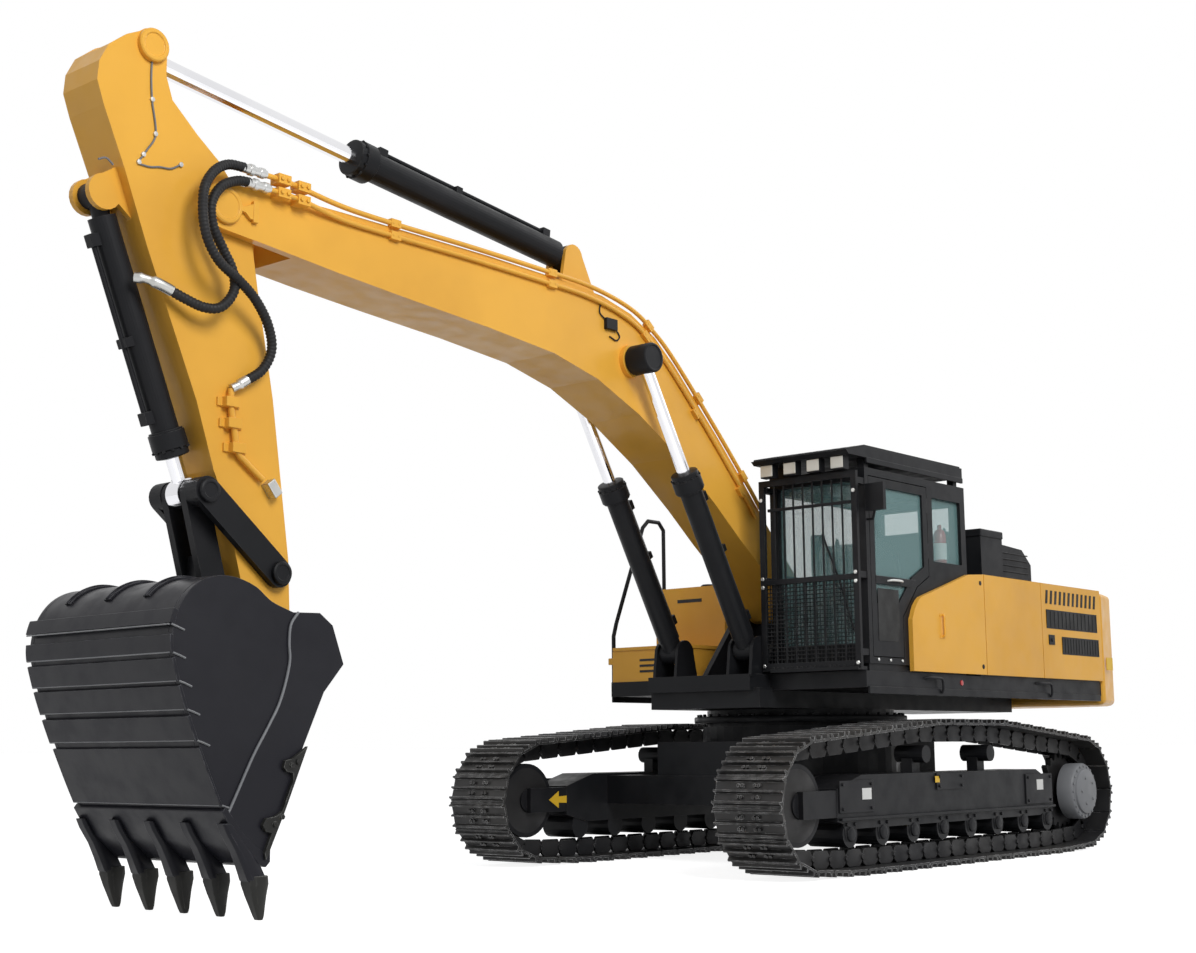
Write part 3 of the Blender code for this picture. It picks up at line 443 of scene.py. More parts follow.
class Look(Enum):
    """Every finish on the machine."""

    YELLOW = Finish("golden_paint", (0.83, 0.43, 0.055), (0.72, 0.36, 0.045), (0.30, 0.46),
                    edge=(0.62, 0.30, 0.05), edge_width=0.004, dust=0.03, grain=90.0, bump=0.04, coat=0.08,
                    gloss=0.25)
    BLACK = Finish("satin_black_paint", (0.010, 0.0105, 0.012), (0.016, 0.016, 0.018), (0.32, 0.5),
                   edge=(0.06, 0.06, 0.06), dust=0.015, grain=70.0, bump=0.05, gloss=0.12)
    BUCKET = Finish("bucket_black", (0.011, 0.011, 0.015), (0.018, 0.018, 0.022), (0.30, 0.48),
                    edge=(0.12, 0.12, 0.13), edge_width=0.008, dust=0.015, grain=40.0, bump=0.09,
                    gloss=0.16)
    SHOE = Finish("shoe_steel", (0.030, 0.030, 0.032), (0.055, 0.053, 0.051), (0.32, 0.55), metal=0.45,
                  edge=(0.50, 0.50, 0.50), edge_width=0.007, dust=0.02, grain=45.0, bump=0.12, gloss=0.2)
    CHAIN = Finish("chain_steel", (0.020, 0.020, 0.022), (0.035, 0.034, 0.034), (0.35, 0.6), metal=0.3,
                   edge=(0.12, 0.12, 0.12), dust=0.02, grain=60.0, bump=0.1, gloss=0.15)
    TOOTH = Finish("tooth_steel", (0.024, 0.024, 0.023), (0.045, 0.044, 0.040), (0.40, 0.6), metal=0.2,
                   edge=(0.22, 0.22, 0.21), edge_width=0.010, dust=0.02, grain=35.0, bump=0.15, gloss=0.15)
    CHROME = Finish("hard_chrome", (0.80, 0.80, 0.82), (0.70, 0.70, 0.73), (0.06, 0.16), metal=1.0,
                    grain=200.0, bump=0.01)
    CAST = Finish("cast_grey", (0.15, 0.155, 0.165), (0.20, 0.205, 0.215), (0.45, 0.6),
                  edge=(0.30, 0.30, 0.30), grain=50.0, bump=0.10)
    STEEL = Finish("plated_steel", (0.55, 0.55, 0.54), (0.42, 0.42, 0.40), (0.25, 0.4), metal=0.9,
                   grain=120.0, bump=0.05)
    HOSE = Finish("hose_rubber", (0.012, 0.012, 0.013), (0.020, 0.019, 0.019), (0.45, 0.65), grain=150.0,
                  bump=0.15, gloss=0.2)
    CLOTH = Finish("seat_cloth", (0.035, 0.036, 0.04), (0.05, 0.05, 0.055), (0.85, 0.95), grain=400.0,
                   bump=0.4)
    LENS = Finish("lamp_lens", (0.62, 0.60, 0.52), (0.50, 0.49, 0.45), (0.10, 0.25), grain=120.0, bump=0.2,
                  coat=0.6)
    WHITE = Finish("white_plate", (0.78, 0.78, 0.76), (0.68, 0.68, 0.66), (0.35, 0.5), grain=80.0,
                   bump=0.03)
    RED = Finish("red_enamel", (0.50, 0.02, 0.02), (0.38, 0.015, 0.015), (0.2, 0.35), grain=80.0, bump=0.03,
                 coat=0.4)
    MARK = Finish("marking_yellow", (0.80, 0.50, 0.03), (0.70, 0.42, 0.03), (0.35, 0.5), grain=80.0,
                  bump=0.03)
    # Painted shade: a near-black finish put in the louvre slots, behind the grilles, in the side slots and on the
    # door's lower window, where only the shade inside shows; on the panel latches it is their own near-black.
    DARK = Finish("painted_shade_and_black", (0.006, 0.006, 0.006), (0.010, 0.010, 0.010), (0.6, 0.8), grain=60.0,
                  bump=0.05)
    GLASS = Glass()

    def material(self) -> bpy.types.Material:
        """Returns the finish's material, made on its first use."""
        return bpy.data.materials.get(self.value.name) or self.value.build()


# ------------------------------------------------------------------ workshop

@dataclass
class Workshop:
    """Turns surfaces into pieces that ride on the machine's bodies."""

    def piece(self, name: str, skin: Skin, look: Look, body: str,
              bevel: float = 0.0, smooth: float = 35.0, replaces: Sequence[str] = (), levels: int = 2,
              across: Optional[tuple] = None) -> bpy.types.Object:
        """Makes one piece.

        Args:
            name: the piece's name.
            skin: its surface, in the machine's frame.
            look: its finish.
            body: the body it rides on.
            bevel: width of a rounding on its sharp edges.
            smooth: faces that meet at less than this angle, in degrees, are shaded as one.
            replaces: the CAD nodes it stands for.
            levels: cuts across the rounding.
            across: where it crosses a joint, the second body and the points where a bend would start and end; only
                whether it is given is read, and then the piece rides on no body.

        Returns:
            The object.
        """
        mesh = bpy.data.meshes.new(name)
        points = skin.points - (CENTRE_X, 0, 0)
        mesh.from_pydata(points.tolist(), [], skin.faces)
        work = bmesh.new()
        work.from_mesh(mesh)
        bmesh.ops.recalc_face_normals(work, faces=work.faces)
        work.to_mesh(mesh)
        work.free()
        mesh.materials.append(look.material())
        mesh.shade_smooth()
        mesh.set_sharp_from_angle(angle=math.radians(smooth))
        obj = bpy.data.objects.new(name, mesh)
        bpy.context.scene.collection.objects.link(obj)
        if bevel:
            edge = obj.modifiers.new("rounding", "BEVEL")
            edge.width = bevel
            edge.segments = levels
            edge.limit_method = "ANGLE"
            edge.angle_limit = math.radians(BEVEL_ANGLE)
            edge.harden_normals = True
        if across:
            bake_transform(obj)
        else:
            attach(obj, body)
        if replaces:
            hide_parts(*replaces)
        LOG.info("%s: %d faces on %s", name, len(skin.faces), body)
        return obj


# ------------------------------------------------------------------ CAD nodes

@dataclass
class Body:
    """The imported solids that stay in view, and the finish each slot gets."""

    slots: dict = field(default_factory=lambda: {
        "yellow_paint": Look.YELLOW, "black_paint": Look.BLACK, "track_steel": Look.SHOE,
        "chrome": Look.CHROME, "grey_paint": Look.CAST, "seat_fabric": Look.CLOTH,
    })
    special: dict = field(default_factory=lambda: {"bucket": Look.BUCKET})

    def dress(self, frame: dict) -> None:
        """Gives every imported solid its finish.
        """
        finishes = {row["node"]: self.slots[row["material_slot"]] for row in frame["record"]["subparts"]}
        for name, obj in frame["nodes"].items():
            look = self.special.get(name, finishes.get(name, Look.BLACK))
            obj.data.materials.clear()
            obj.data.materials.append(look.material())
            LOG.info("%s: %s", name, look.value.name)


# ------------------------------------------------------------------ undercarriage

@dataclass
class Tracks:
    """Both tracks: shoes with three grousers, bolted to a chain of links round the wheels."""

    gauge: float = GAUGE
    shoe_width: float = 0.60
    count: int = 52
    wheels: tuple = ((2.22, 0.53, 0.47), (-2.22, 0.53, 0.47), (1.72, 0.275, 0.24), (-1.72, 0.275, 0.24),
                     (0.42, 0.885, 0.25), (-0.66, 0.885, 0.25))

    def belt(self) -> tuple[Array, Array, float]:
        """Finds the shoes' places on the taut belt round the wheels.

        For each direction the belt touches the wheel that reaches furthest that way, at its centre plus its radius
        along the direction. The loop of those points is then walked at an even pitch.

        Returns:
            Places (X, Z), outward directions and the pitch.
        """
        t = np.linspace(0, 2 * np.pi, 1441)[:-1]
        out = np.stack([np.cos(t), np.sin(t)], axis=1)
        x, z, r = np.array(self.wheels).T
        reach = out @ np.stack([x, z]) + r
        k = reach.argmax(axis=1)
        loop = np.stack([x[k], z[k]], axis=1) + r[k][:, None] * out
        closed = np.vstack([loop, loop[:1]])
        run = np.r_[0, np.cumsum(np.hypot(*np.diff(closed, axis=0).T))]
        pitch = run[-1] / self.count
        at = (np.arange(self.count) + 0.5) * pitch

        def point(s: Array) -> Array:
            """Returns the belt's points at distances along it."""
            s = np.mod(s, run[-1])
            return np.stack([np.interp(s, run, closed[:, 0]), np.interp(s, run, closed[:, 1])], axis=1)

        chord = point(at + pitch * 0.45) - point(at - pitch * 0.45)
        chord /= np.hypot(*chord.T)[:, None]
        middle = (point(at + pitch * 0.45) + point(at - pitch * 0.45)) / 2
        return middle, np.stack([chord[:, 1], -chord[:, 0]], axis=1), pitch

    def build(self, shop: Workshop) -> None:
        """Makes the shoes and the chain of each side, in place of the plain loops."""
        middle, out, pitch = self.belt()
        turns = np.zeros((self.count, 3, 3))
        turns[:, 0, 0], turns[:, 2, 0] = -out[:, 1], out[:, 0]
        turns[:, 1, 1] = 1.0
        turns[:, 0, 2], turns[:, 2, 2] = out[:, 0], out[:, 1]
        half, s = self.shoe_width / 2, pitch / 0.228
        profile = np.array([(-0.112, -0.016), (0.092, -0.016), (0.112, -0.004), (0.112, 0.008),
                            (0.098, 0.012), (0.092, 0.034), (0.080, 0.034), (0.072, 0.002), (0.012, 0.0),
                            (0.007, 0.029), (-0.006, 0.029), (-0.012, 0.0), (-0.070, 0.002),
                            (-0.078, 0.033), (-0.092, 0.033), (-0.100, 0.004), (-0.112, 0.0)]) * (s, 1)
        plate = prism(profile[::-1], (-half, half))
        bolt = turned([(0.0, -0.018), (0.015, -0.018), (0.015, 0.014), (0.0, 0.014)], (0, 0, 0), axis=2,
                      sides=6)
        plate = plate.plus(bolt.at([(x * s, y, 0.006) for x in (-0.042, 0.042)
                                    for y in (-0.09, -0.055, 0.055, 0.09)]))
        link = prism([(-0.120 * s, -0.100), (-0.085 * s, -0.150), (0.085 * s, -0.150), (0.120 * s, -0.100),
                      (0.105 * s, -0.045), (0.070 * s, -0.018), (-0.070 * s, -0.018),
                      (-0.105 * s, -0.045)][::-1],
                     (-0.014, 0.014))
        links = link.at([(0, y, 0) for y in (-0.098, 0.098)])
        barrel = [(0.0, -0.125), (0.022, -0.125), (0.022, -0.084), (0.034, -0.084), (0.034, 0.084),
                  (0.022, 0.084), (0.022, 0.125), (0.0, 0.125)]
        links = links.plus(turned(barrel, (0.112 * s, 0, -0.085), sides=14))
        for side, sign in (("left", 1), ("right", -1)):
            places = np.insert(middle, 1, sign * self.gauge / 2, axis=1)
            shop.piece(side + "_shoes", plate.copies(turns, places), Look.SHOE, "undercarriage",
                       smooth=25, replaces=[side + "_track"])
            shop.piece(side + "_chain", links.copies(turns, places), Look.CHAIN, "undercarriage",
                       bevel=0.004, levels=1)


@dataclass
class Undercarriage:
    """What shows on the track frames, the drive covers and the car body."""

    gauge: float = GAUGE
    wheel_x: float = 2.22
    wheel_z: float = 0.53

    def build(self, shop: Workshop) -> None:
        """Makes the parts of both sides and of the car body."""
        for side, sign in (("left", 1), ("right", -1)):
            self.rollers(shop, side, sign)
            self.drive(shop, side, sign)
            self.frame(shop, side, sign)
        self.middle(shop)

    def rollers(self, shop: Workshop, side: str, sign: int) -> None:
        """Makes the guards and the bolts along the bottom rollers of one side."""
        y = sign * (self.gauge / 2 + 0.18)
        x = np.linspace(-1.62, 1.62, 8)
        cap = turned([(0.0, 0.0), (0.055, 0.0), (0.055, 0.018), (0.045, 0.026), (0.020, 0.028),
                      (0.0, 0.028)], (0, 0, 0))
        cap = cap.on_side(sign)
        caps = cap.at([(v, y - sign * 0.012, 0.302) for v in x])
        tooth = [(-0.10, 0.40), (-0.075, 0.33), (-0.055, 0.25), (0.055, 0.25), (0.075, 0.33), (0.10, 0.40)]
        guard = prism(tooth[::-1], sorted((y - sign * 0.03, y - sign * 0.004)))
        skin = caps.plus(guard.at([(v, 0, 0) for v in x]))
        bolt = turned([(0.0, 0.0), (0.016, 0.0), (0.016, 0.014), (0.0, 0.016)], (0, 0, 0), sides=6)
        bolt = bolt.on_side(sign)
        spots = [(v + d, y - sign * 0.001, 0.375) for v in x for d in (-0.055, 0.055)]
        shop.piece(side + "_roller_caps", skin.plus(bolt.at(spots)), Look.BLACK, "undercarriage",
                   bevel=0.004, levels=1)

    def drive(self, shop: Workshop, side: str, sign: int) -> None:
        """Makes the bolted drive cover and the sprocket's teeth of one side."""
        y = sign * self.gauge / 2
        centre = (-self.wheel_x, y, self.wheel_z)
        cover = turned([(0.0, 0.10), (0.250, 0.10), (0.252, 0.235), (0.240, 0.250), (0.205, 0.256),
                        (0.200, 0.275), (0.186, 0.284), (0.100, 0.288), (0.0, 0.289)], (0, 0, 0), sides=64)
        bolt = turned([(0.0, 0.0), (0.013, 0.0), (0.013, 0.012), (0.0, 0.013)], (0, 0, 0), sides=6)
        t = np.linspace(0, 2 * np.pi, 20, endpoint=False)
        rings = [(0.226 * math.cos(a), 0.250, 0.226 * math.sin(a)) for a in t]
        rings += [(0.120 * math.cos(a), 0.286, 0.120 * math.sin(a)) for a in t[::4]]
        skin = cover.plus(bolt.at(rings))
        skin = skin.on_side(sign).moved(centre)
        shop.piece(side + "_drive_cover", skin, Look.CAST, "undercarriage", bevel=0.003,
                   smooth=40)
        t = np.linspace(0, 2 * np.pi, 21 * 4, endpoint=False)
        r = np.tile((0.300, 0.352, 0.352, 0.300), 21)
        outline = np.stack([centre[0] + r * np.cos(t), centre[2] + r * np.sin(t)], axis=1)
        shop.piece(side + "_sprocket_teeth", prism(outline[::-1], (y - 0.03, y + 0.03)), Look.CHAIN,
                   "undercarriage", bevel=0.004, levels=1, replaces=[side + "_sprocket"])

    def frame(self, shop: Workshop, side: str, sign: int) -> None:
        """Makes the idler and the bolted plates and the rib on the outside of one track frame."""
        y = sign * self.gauge / 2
        rim = turned([(0.0, -0.10), (0.300, -0.10), (0.302, -0.045), (0.235, -0.040), (0.225, 0.0),
                      (0.235, 0.040), (0.302, 0.045), (0.300, 0.10), (0.260, 0.112), (0.0, 0.116)],
                     (self.wheel_x, y, self.wheel_z), sides=56)
        shop.piece(side + "_idler_wheel", rim, Look.CHAIN, "undercarriage", bevel=0.004, levels=1)
        face = sign * 0.1815
        plates = [((1.30, 0.46), (1.78, 0.70)), ((-1.70, 0.44), (-1.20, 0.70)),
                  ((-0.10, 0.60), (0.34, 0.735))]
        inner, outer = sorted((y + face, y + face + sign * 0.012))
        skin = joined(block((x0, inner, z0), (x1, outer, z1)) for (x0, z0), (x1, z1) in plates)
        bolt = turned([(0.0, 0.0), (0.014, 0.0), (0.014, 0.012), (0.0, 0.013)], (0, 0, 0), sides=6)
        bolt = bolt.on_side(sign)
        spots = [(x, y + face + sign * 0.012, z) for (x0, z0), (x1, z1) in plates
                 for x in (x0 + 0.04, x1 - 0.04)
                 for z in (z0 + 0.03, z1 - 0.03)]
        inner, outer = sorted((y + face, y + face + sign * 0.03))
        rib = block((-1.72, inner, 0.405), (1.78, outer, 0.425))
        shop.piece(side + "_frame_plates", skin.plus(bolt.at(spots), rib), Look.BLACK, "undercarriage",
                   bevel=0.004)

    def middle(self, shop: Workshop) -> None:
        """Makes the swing ring with its bolts and the blank plates and the arrow on the frames."""
        ring = turned([(0.0, 1.16), (0.93, 1.16), (0.935, 1.175), (0.935, 1.205), (0.93, 1.215),
                       (0.86, 1.218), (0.0, 1.22)], (0, 0, 0), axis=2, sides=96)
        bolt = turned([(0.0, 0.0), (0.016, 0.0), (0.016, 0.02), (0.0, 0.022)], (0, 0, 0), axis=2, sides=6)
        t = np.linspace(0, 2 * np.pi, 44, endpoint=False)
        skin = ring.plus(bolt.at([(0.898 * math.cos(a), 0.898 * math.sin(a), 1.216) for a in t]))
        shop.piece("swing_ring", skin, Look.BLACK, "undercarriage", bevel=0.003)
        y = self.gauge / 2 + 0.1935
        tags = block((1.34, y, 0.555),
                     (1.47, y + 0.002, 0.64)).plus(block((-1.52, y, 0.56), (-1.40, y + 0.002, 0.65)))
        shop.piece("blank_plates", tags, Look.WHITE, "undercarriage")
        shop.piece("small_plate", block((0.30, y, 0.66), (0.37, y + 0.002, 0.71)), Look.MARK,
                   "undercarriage")
        arrow = [(2.02, 0.53), (1.90, 0.60), (1.90, 0.555), (1.70, 0.565), (1.74, 0.53), (1.70, 0.495),
                 (1.90, 0.505), (1.90, 0.46)]
        low = -self.gauge / 2 + 0.1765
        shop.piece("travel_arrow", prism(arrow, (low, low + 0.003)), Look.MARK, "undercarriage")


# ------------------------------------------------------------------ bucket

def thick_curve(line: Array, inset: float) -> Array:
    """Returns the outline of a strip between a line of (X, Z) points and the same line moved square to itself.

    Args:
        line: the points of the line.
        inset: how far it is moved, to the right of its direction.

    Returns:
        The strip's outline.
    """
    way = np.gradient(line, axis=0)
    way /= np.hypot(*way.T)[:, None]
    return np.vstack([line, (line + inset * np.stack([way[:, 1], -way[:, 0]], axis=1))[::-1]])


def hex_bolt(place: tuple, axis: int = 1, radius: float = 0.014, out: float = 0.012) -> Skin:
    """Returns a six-sided bolt head.

    Args:
        place: where it stands.
        axis: the axis it points along.
        radius: its size across the corners, halved.
        out: how far it stands out.

    Returns:
        The bolt head.
    """
    return turned([(0.0, 0.0), (radius, 0.0), (radius, out * 0.8), (radius * 0.8, out), (0.0, out)], place,
                  axis=axis, sides=6)


@dataclass
class Bucket:
    """The digging bucket: side plates, a rolled back with wear plates, a lip with adapters and teeth."""

    half: float = 0.72
    wall: float = 0.04
    ear: float = 0.186
    pin: tuple = BUCKET_PIN
    link: tuple = BUCKET_LINK_PIN
    teeth: tuple = (-0.70, -0.35, 0.0, 0.35, 0.70)

    def back(self) -> Array:
        """Returns the back's outer line from the lip up and over to the front of the hinge."""
        points = [(6.56, 0, 0.37), (6.67, 0, 0.44), (6.79, 0, 0.63), (6.92, 0, 0.89), (7.045, 0, 1.17),
                  (7.13, 0, 1.40), (7.168, 0, 1.57), (7.135, 0, 1.74), (7.04, 0, 1.87), (6.90, 0, 1.94),
                  (6.75, 0, 1.945), (6.60, 0, 1.90), (6.48, 0, 1.82), (6.32, 0, 1.765)]
        return curve(points, 6)[:, [0, 2]]

    def build(self, shop: Workshop) -> None:
        """Makes the shell, its wear parts and its teeth."""
        self.shell(shop)
        self.wear(shop)
        self.points(shop)
        self.sides(shop)

    def shell(self, shop: Workshop) -> None:
        """Makes the back, the side plates and the hinge ears, in place of the plain bucket."""
        back = self.back()
        strip = thick_curve(back, -self.wall)
        skin = prism(strip[::-1], (-self.half + self.wall, self.half - self.wall))
        front = [(6.13, 1.77), (6.03, 1.70), (5.94, 1.47), (6.09, 1.30), (6.25, 0.96), (6.39, 0.62),
                 (6.515, 0.36)]
        side = prism(np.vstack([back, front])[::-1], (self.half - self.wall, self.half))
        skin = skin.plus(side, side.mirrored())
        shop.piece("bucket_shell", skin, Look.BUCKET, "bucket", bevel=0.005, smooth=30,
                   replaces=["bucket"])
        t = np.radians(np.linspace(45, 150, 10))
        top = np.stack([self.link[0] + 0.10 * np.cos(t), self.link[1] + 0.10 * np.sin(t)], axis=1)
        t = np.radians(np.linspace(120, 300, 18))
        foot = np.stack([self.pin[0] + 0.15 * np.cos(t), self.pin[1] + 0.15 * np.sin(t)], axis=1)
        outline = np.vstack([[(6.62, 1.88)], top, foot, [(6.45, 1.55)]])
        ear = prism(outline[::-1], (self.ear, self.ear + 0.06))
        cap = [(0.0, 0.0), (0.085, 0.0), (0.085, 0.02), (0.075, 0.028), (0.03, 0.03), (0.0, 0.03)]
        for place in (self.pin, self.link):
            ear = ear.plus(turned(cap, at_pin(place, self.ear + 0.06)))
        shop.piece("bucket_ears", ear.paired(), Look.BUCKET, "bucket", bevel=0.004)
        bar = turned([(0.0, -0.25), (0.05, -0.25), (0.05, 0.25), (0.0, 0.25)], at_pin(self.pin, 0))
        shop.piece("bucket_pin", bar, Look.CAST, "bucket")

    def wear(self, shop: Workshop) -> None:
        """Makes the wear plates across the back and the three ribs over its top."""
        back = self.back()
        height = back[:, 1]
        rise = np.argmax(height > 1.75)
        bands = ((1.655, 1.735, 0.034), (1.50, 1.60, 0.022), (1.345, 1.475, 0.022), (1.19, 1.325, 0.022),
                 (1.02, 1.16, 0.022), (0.66, 0.985, 0.016))
        plates, beads = [], []
        for low, high, proud in bands:
            z = np.linspace(low, high, 7)
            line = np.stack([np.interp(z, height[:rise], back[:rise, 0]), z], axis=1)
            plates.append(prism(thick_curve(line, proud)[::-1], (-self.half - 0.012, self.half + 0.012)))
        shop.piece("wear_plates", joined(plates), Look.BUCKET, "bucket", bevel=0.003,
                   levels=1)
        for low, _, proud in bands:
            x = np.interp(low, height[:rise], back[:rise, 0]) + proud * 0.9
            along = [(x, -self.half, low), (x, 0, low - 0.001), (x, self.half, low)]
            tail = [(x - 0.01, self.half + 0.008, low), (x - 0.06, self.half + 0.004, low - 0.015),
                    (x - 0.10, self.half + 0.003, low - 0.03)]
            beads += [sweep(np.array(along), 0.005, 6), sweep(np.array(tail), 0.006, 6)]
        shop.piece("wear_plate_welds", joined(beads), Look.CAST, "bucket", smooth=60)
        over = back[rise + 3:-8]
        rib = prism(thick_curve(over, 0.014)[::-1], (-0.032, 0.032))
        thin = prism(thick_curve(over, 0.024)[::-1], (-0.006, 0.006))
        spots = [(0, y, 0) for y in (-0.46, -0.05, 0.34)]
        shop.piece("bucket_top_ribs", rib.at(spots).plus(thin.at(spots)), Look.BUCKET, "bucket",
                   bevel=0.003, levels=1)

    def points(self, shop: Workshop) -> None:
        """Makes the lip, the adapters on it and the curved teeth on those."""
        lip = [(6.47, 0.335), (6.50, 0.305), (6.57, 0.33), (6.70, 0.45), (6.815, 0.625), (6.79, 0.655),
               (6.66, 0.50), (6.53, 0.40)]
        shop.piece("bucket_lip", prism(lip[::-1], (-self.half - 0.02, self.half + 0.02)), Look.BUCKET,
                   "bucket", bevel=0.006)
        table = np.array([  # X and Z of the middle, half width across, half depth
            (6.772, 0.560, 0.044, 0.030), (6.735, 0.505, 0.046, 0.040), (6.660, 0.410, 0.046, 0.050),
            (6.600, 0.320, 0.050, 0.064), (6.560, 0.240, 0.056, 0.068), (6.555, 0.228, 0.048, 0.058)])
        skin = self.rod(table)
        lug = block((6.46, -0.028, 0.33), (6.53, 0.028, 0.41))
        spots = [(0, y, 0) for y in self.teeth]
        shop.piece("tooth_adapters", skin.plus(lug).at(spots), Look.BUCKET, "bucket",
                   bevel=0.008)
        table = np.array([(6.552, 0.262, 0.060, 0.066), (6.548, 0.215, 0.064, 0.066),
                          (6.540, 0.150, 0.050, 0.052), (6.528, 0.090, 0.039, 0.038),
                          (6.518, 0.040, 0.032, 0.026), (6.514, 0.0135, 0.026, 0.016)])
        shop.piece("bucket_teeth", self.rod(table).at(spots), Look.TOOTH, "bucket",
                   bevel=0.007)

    def rod(self, table: Array) -> Skin:
        """Lofts level eight-cornered rings: each has a middle, a half width and a half depth.

        Args:
            table: rows of X, Z, half width and half depth.

        Returns:
            The bar.
        """
        corner = np.array([(1, 0.55), (0.7, 1), (-0.7, 1), (-1, 0.55), (-1, -0.55), (-0.7, -1), (0.7, -1),
                           (1, -0.55)])
        rings = np.zeros((len(table), 8, 3))
        rings[:, :, 0] = table[:, None, 0] + table[:, None, 3] * corner[None, :, 1]
        rings[:, :, 1] = table[:, None, 2] * corner[None, :, 0]
        rings[:, :, 2] = table[:, None, 1]
        return loft(rings)

    def sides(self, shop: Workshop) -> None:
        """Makes the thicker plates along the side edges, their welds and the side cutters."""
        seam = curve([(6.29, 0, 1.765), (6.345, 0, 1.69), (6.355, 0, 1.58), (6.35, 0, 1.46),
                      (6.41, 0, 1.25), (6.50, 0, 1.09), (6.60, 0, 0.93), (6.72, 0, 0.70),
                      (6.765, 0, 0.615)], 5)
        front = [(6.515, 0.36), (6.39, 0.62), (6.25, 0.96), (6.09, 1.30), (5.94, 1.47), (6.03, 1.70),
                 (6.13, 1.77)]
        outline = np.vstack([seam[:, [0, 2]], [(6.66, 0.43)], front])
        plate = prism(outline, (self.half, self.half + 0.014))
        shop.piece("bucket_edge_plates", plate.paired(), Look.BUCKET, "bucket", bevel=0.004)
        bead = sweep(seam + (0, self.half + 0.007, 0), 0.009, 8)
        shop.piece("bucket_side_welds", bead.paired(), Look.CAST, "bucket", smooth=60)
        edge = [(6.515, 0.345), (6.385, 0.615), (6.225, 0.985)]
        hooks = [(6.270, 0.955), (6.335, 0.915), (6.388, 0.905), (6.402, 0.865), (6.375, 0.838),
                 (6.332, 0.832), (6.330, 0.79), (6.405, 0.615), (6.450, 0.590), (6.520, 0.580),
                 (6.545, 0.540), (6.520, 0.505), (6.478, 0.495), (6.525, 0.385)]
        skin = prism(edge + hooks, (self.half + 0.012, self.half + 0.040))
        bolt = turned([(0.0, 0.0), (0.018, 0.0), (0.018, 0.012), (0.0, 0.014)], (0, self.half + 0.04, 0),
                      sides=6)
        skin = skin.plus(bolt.at([(6.345, 0, 0.875), (6.30, 0, 0.895), (6.46, 0, 0.545), (6.41, 0, 0.585)]))
        shop.piece("side_cutters", skin.paired(), Look.TOOTH, "bucket", bevel=0.004)


# ------------------------------------------------------------------ boom and arm

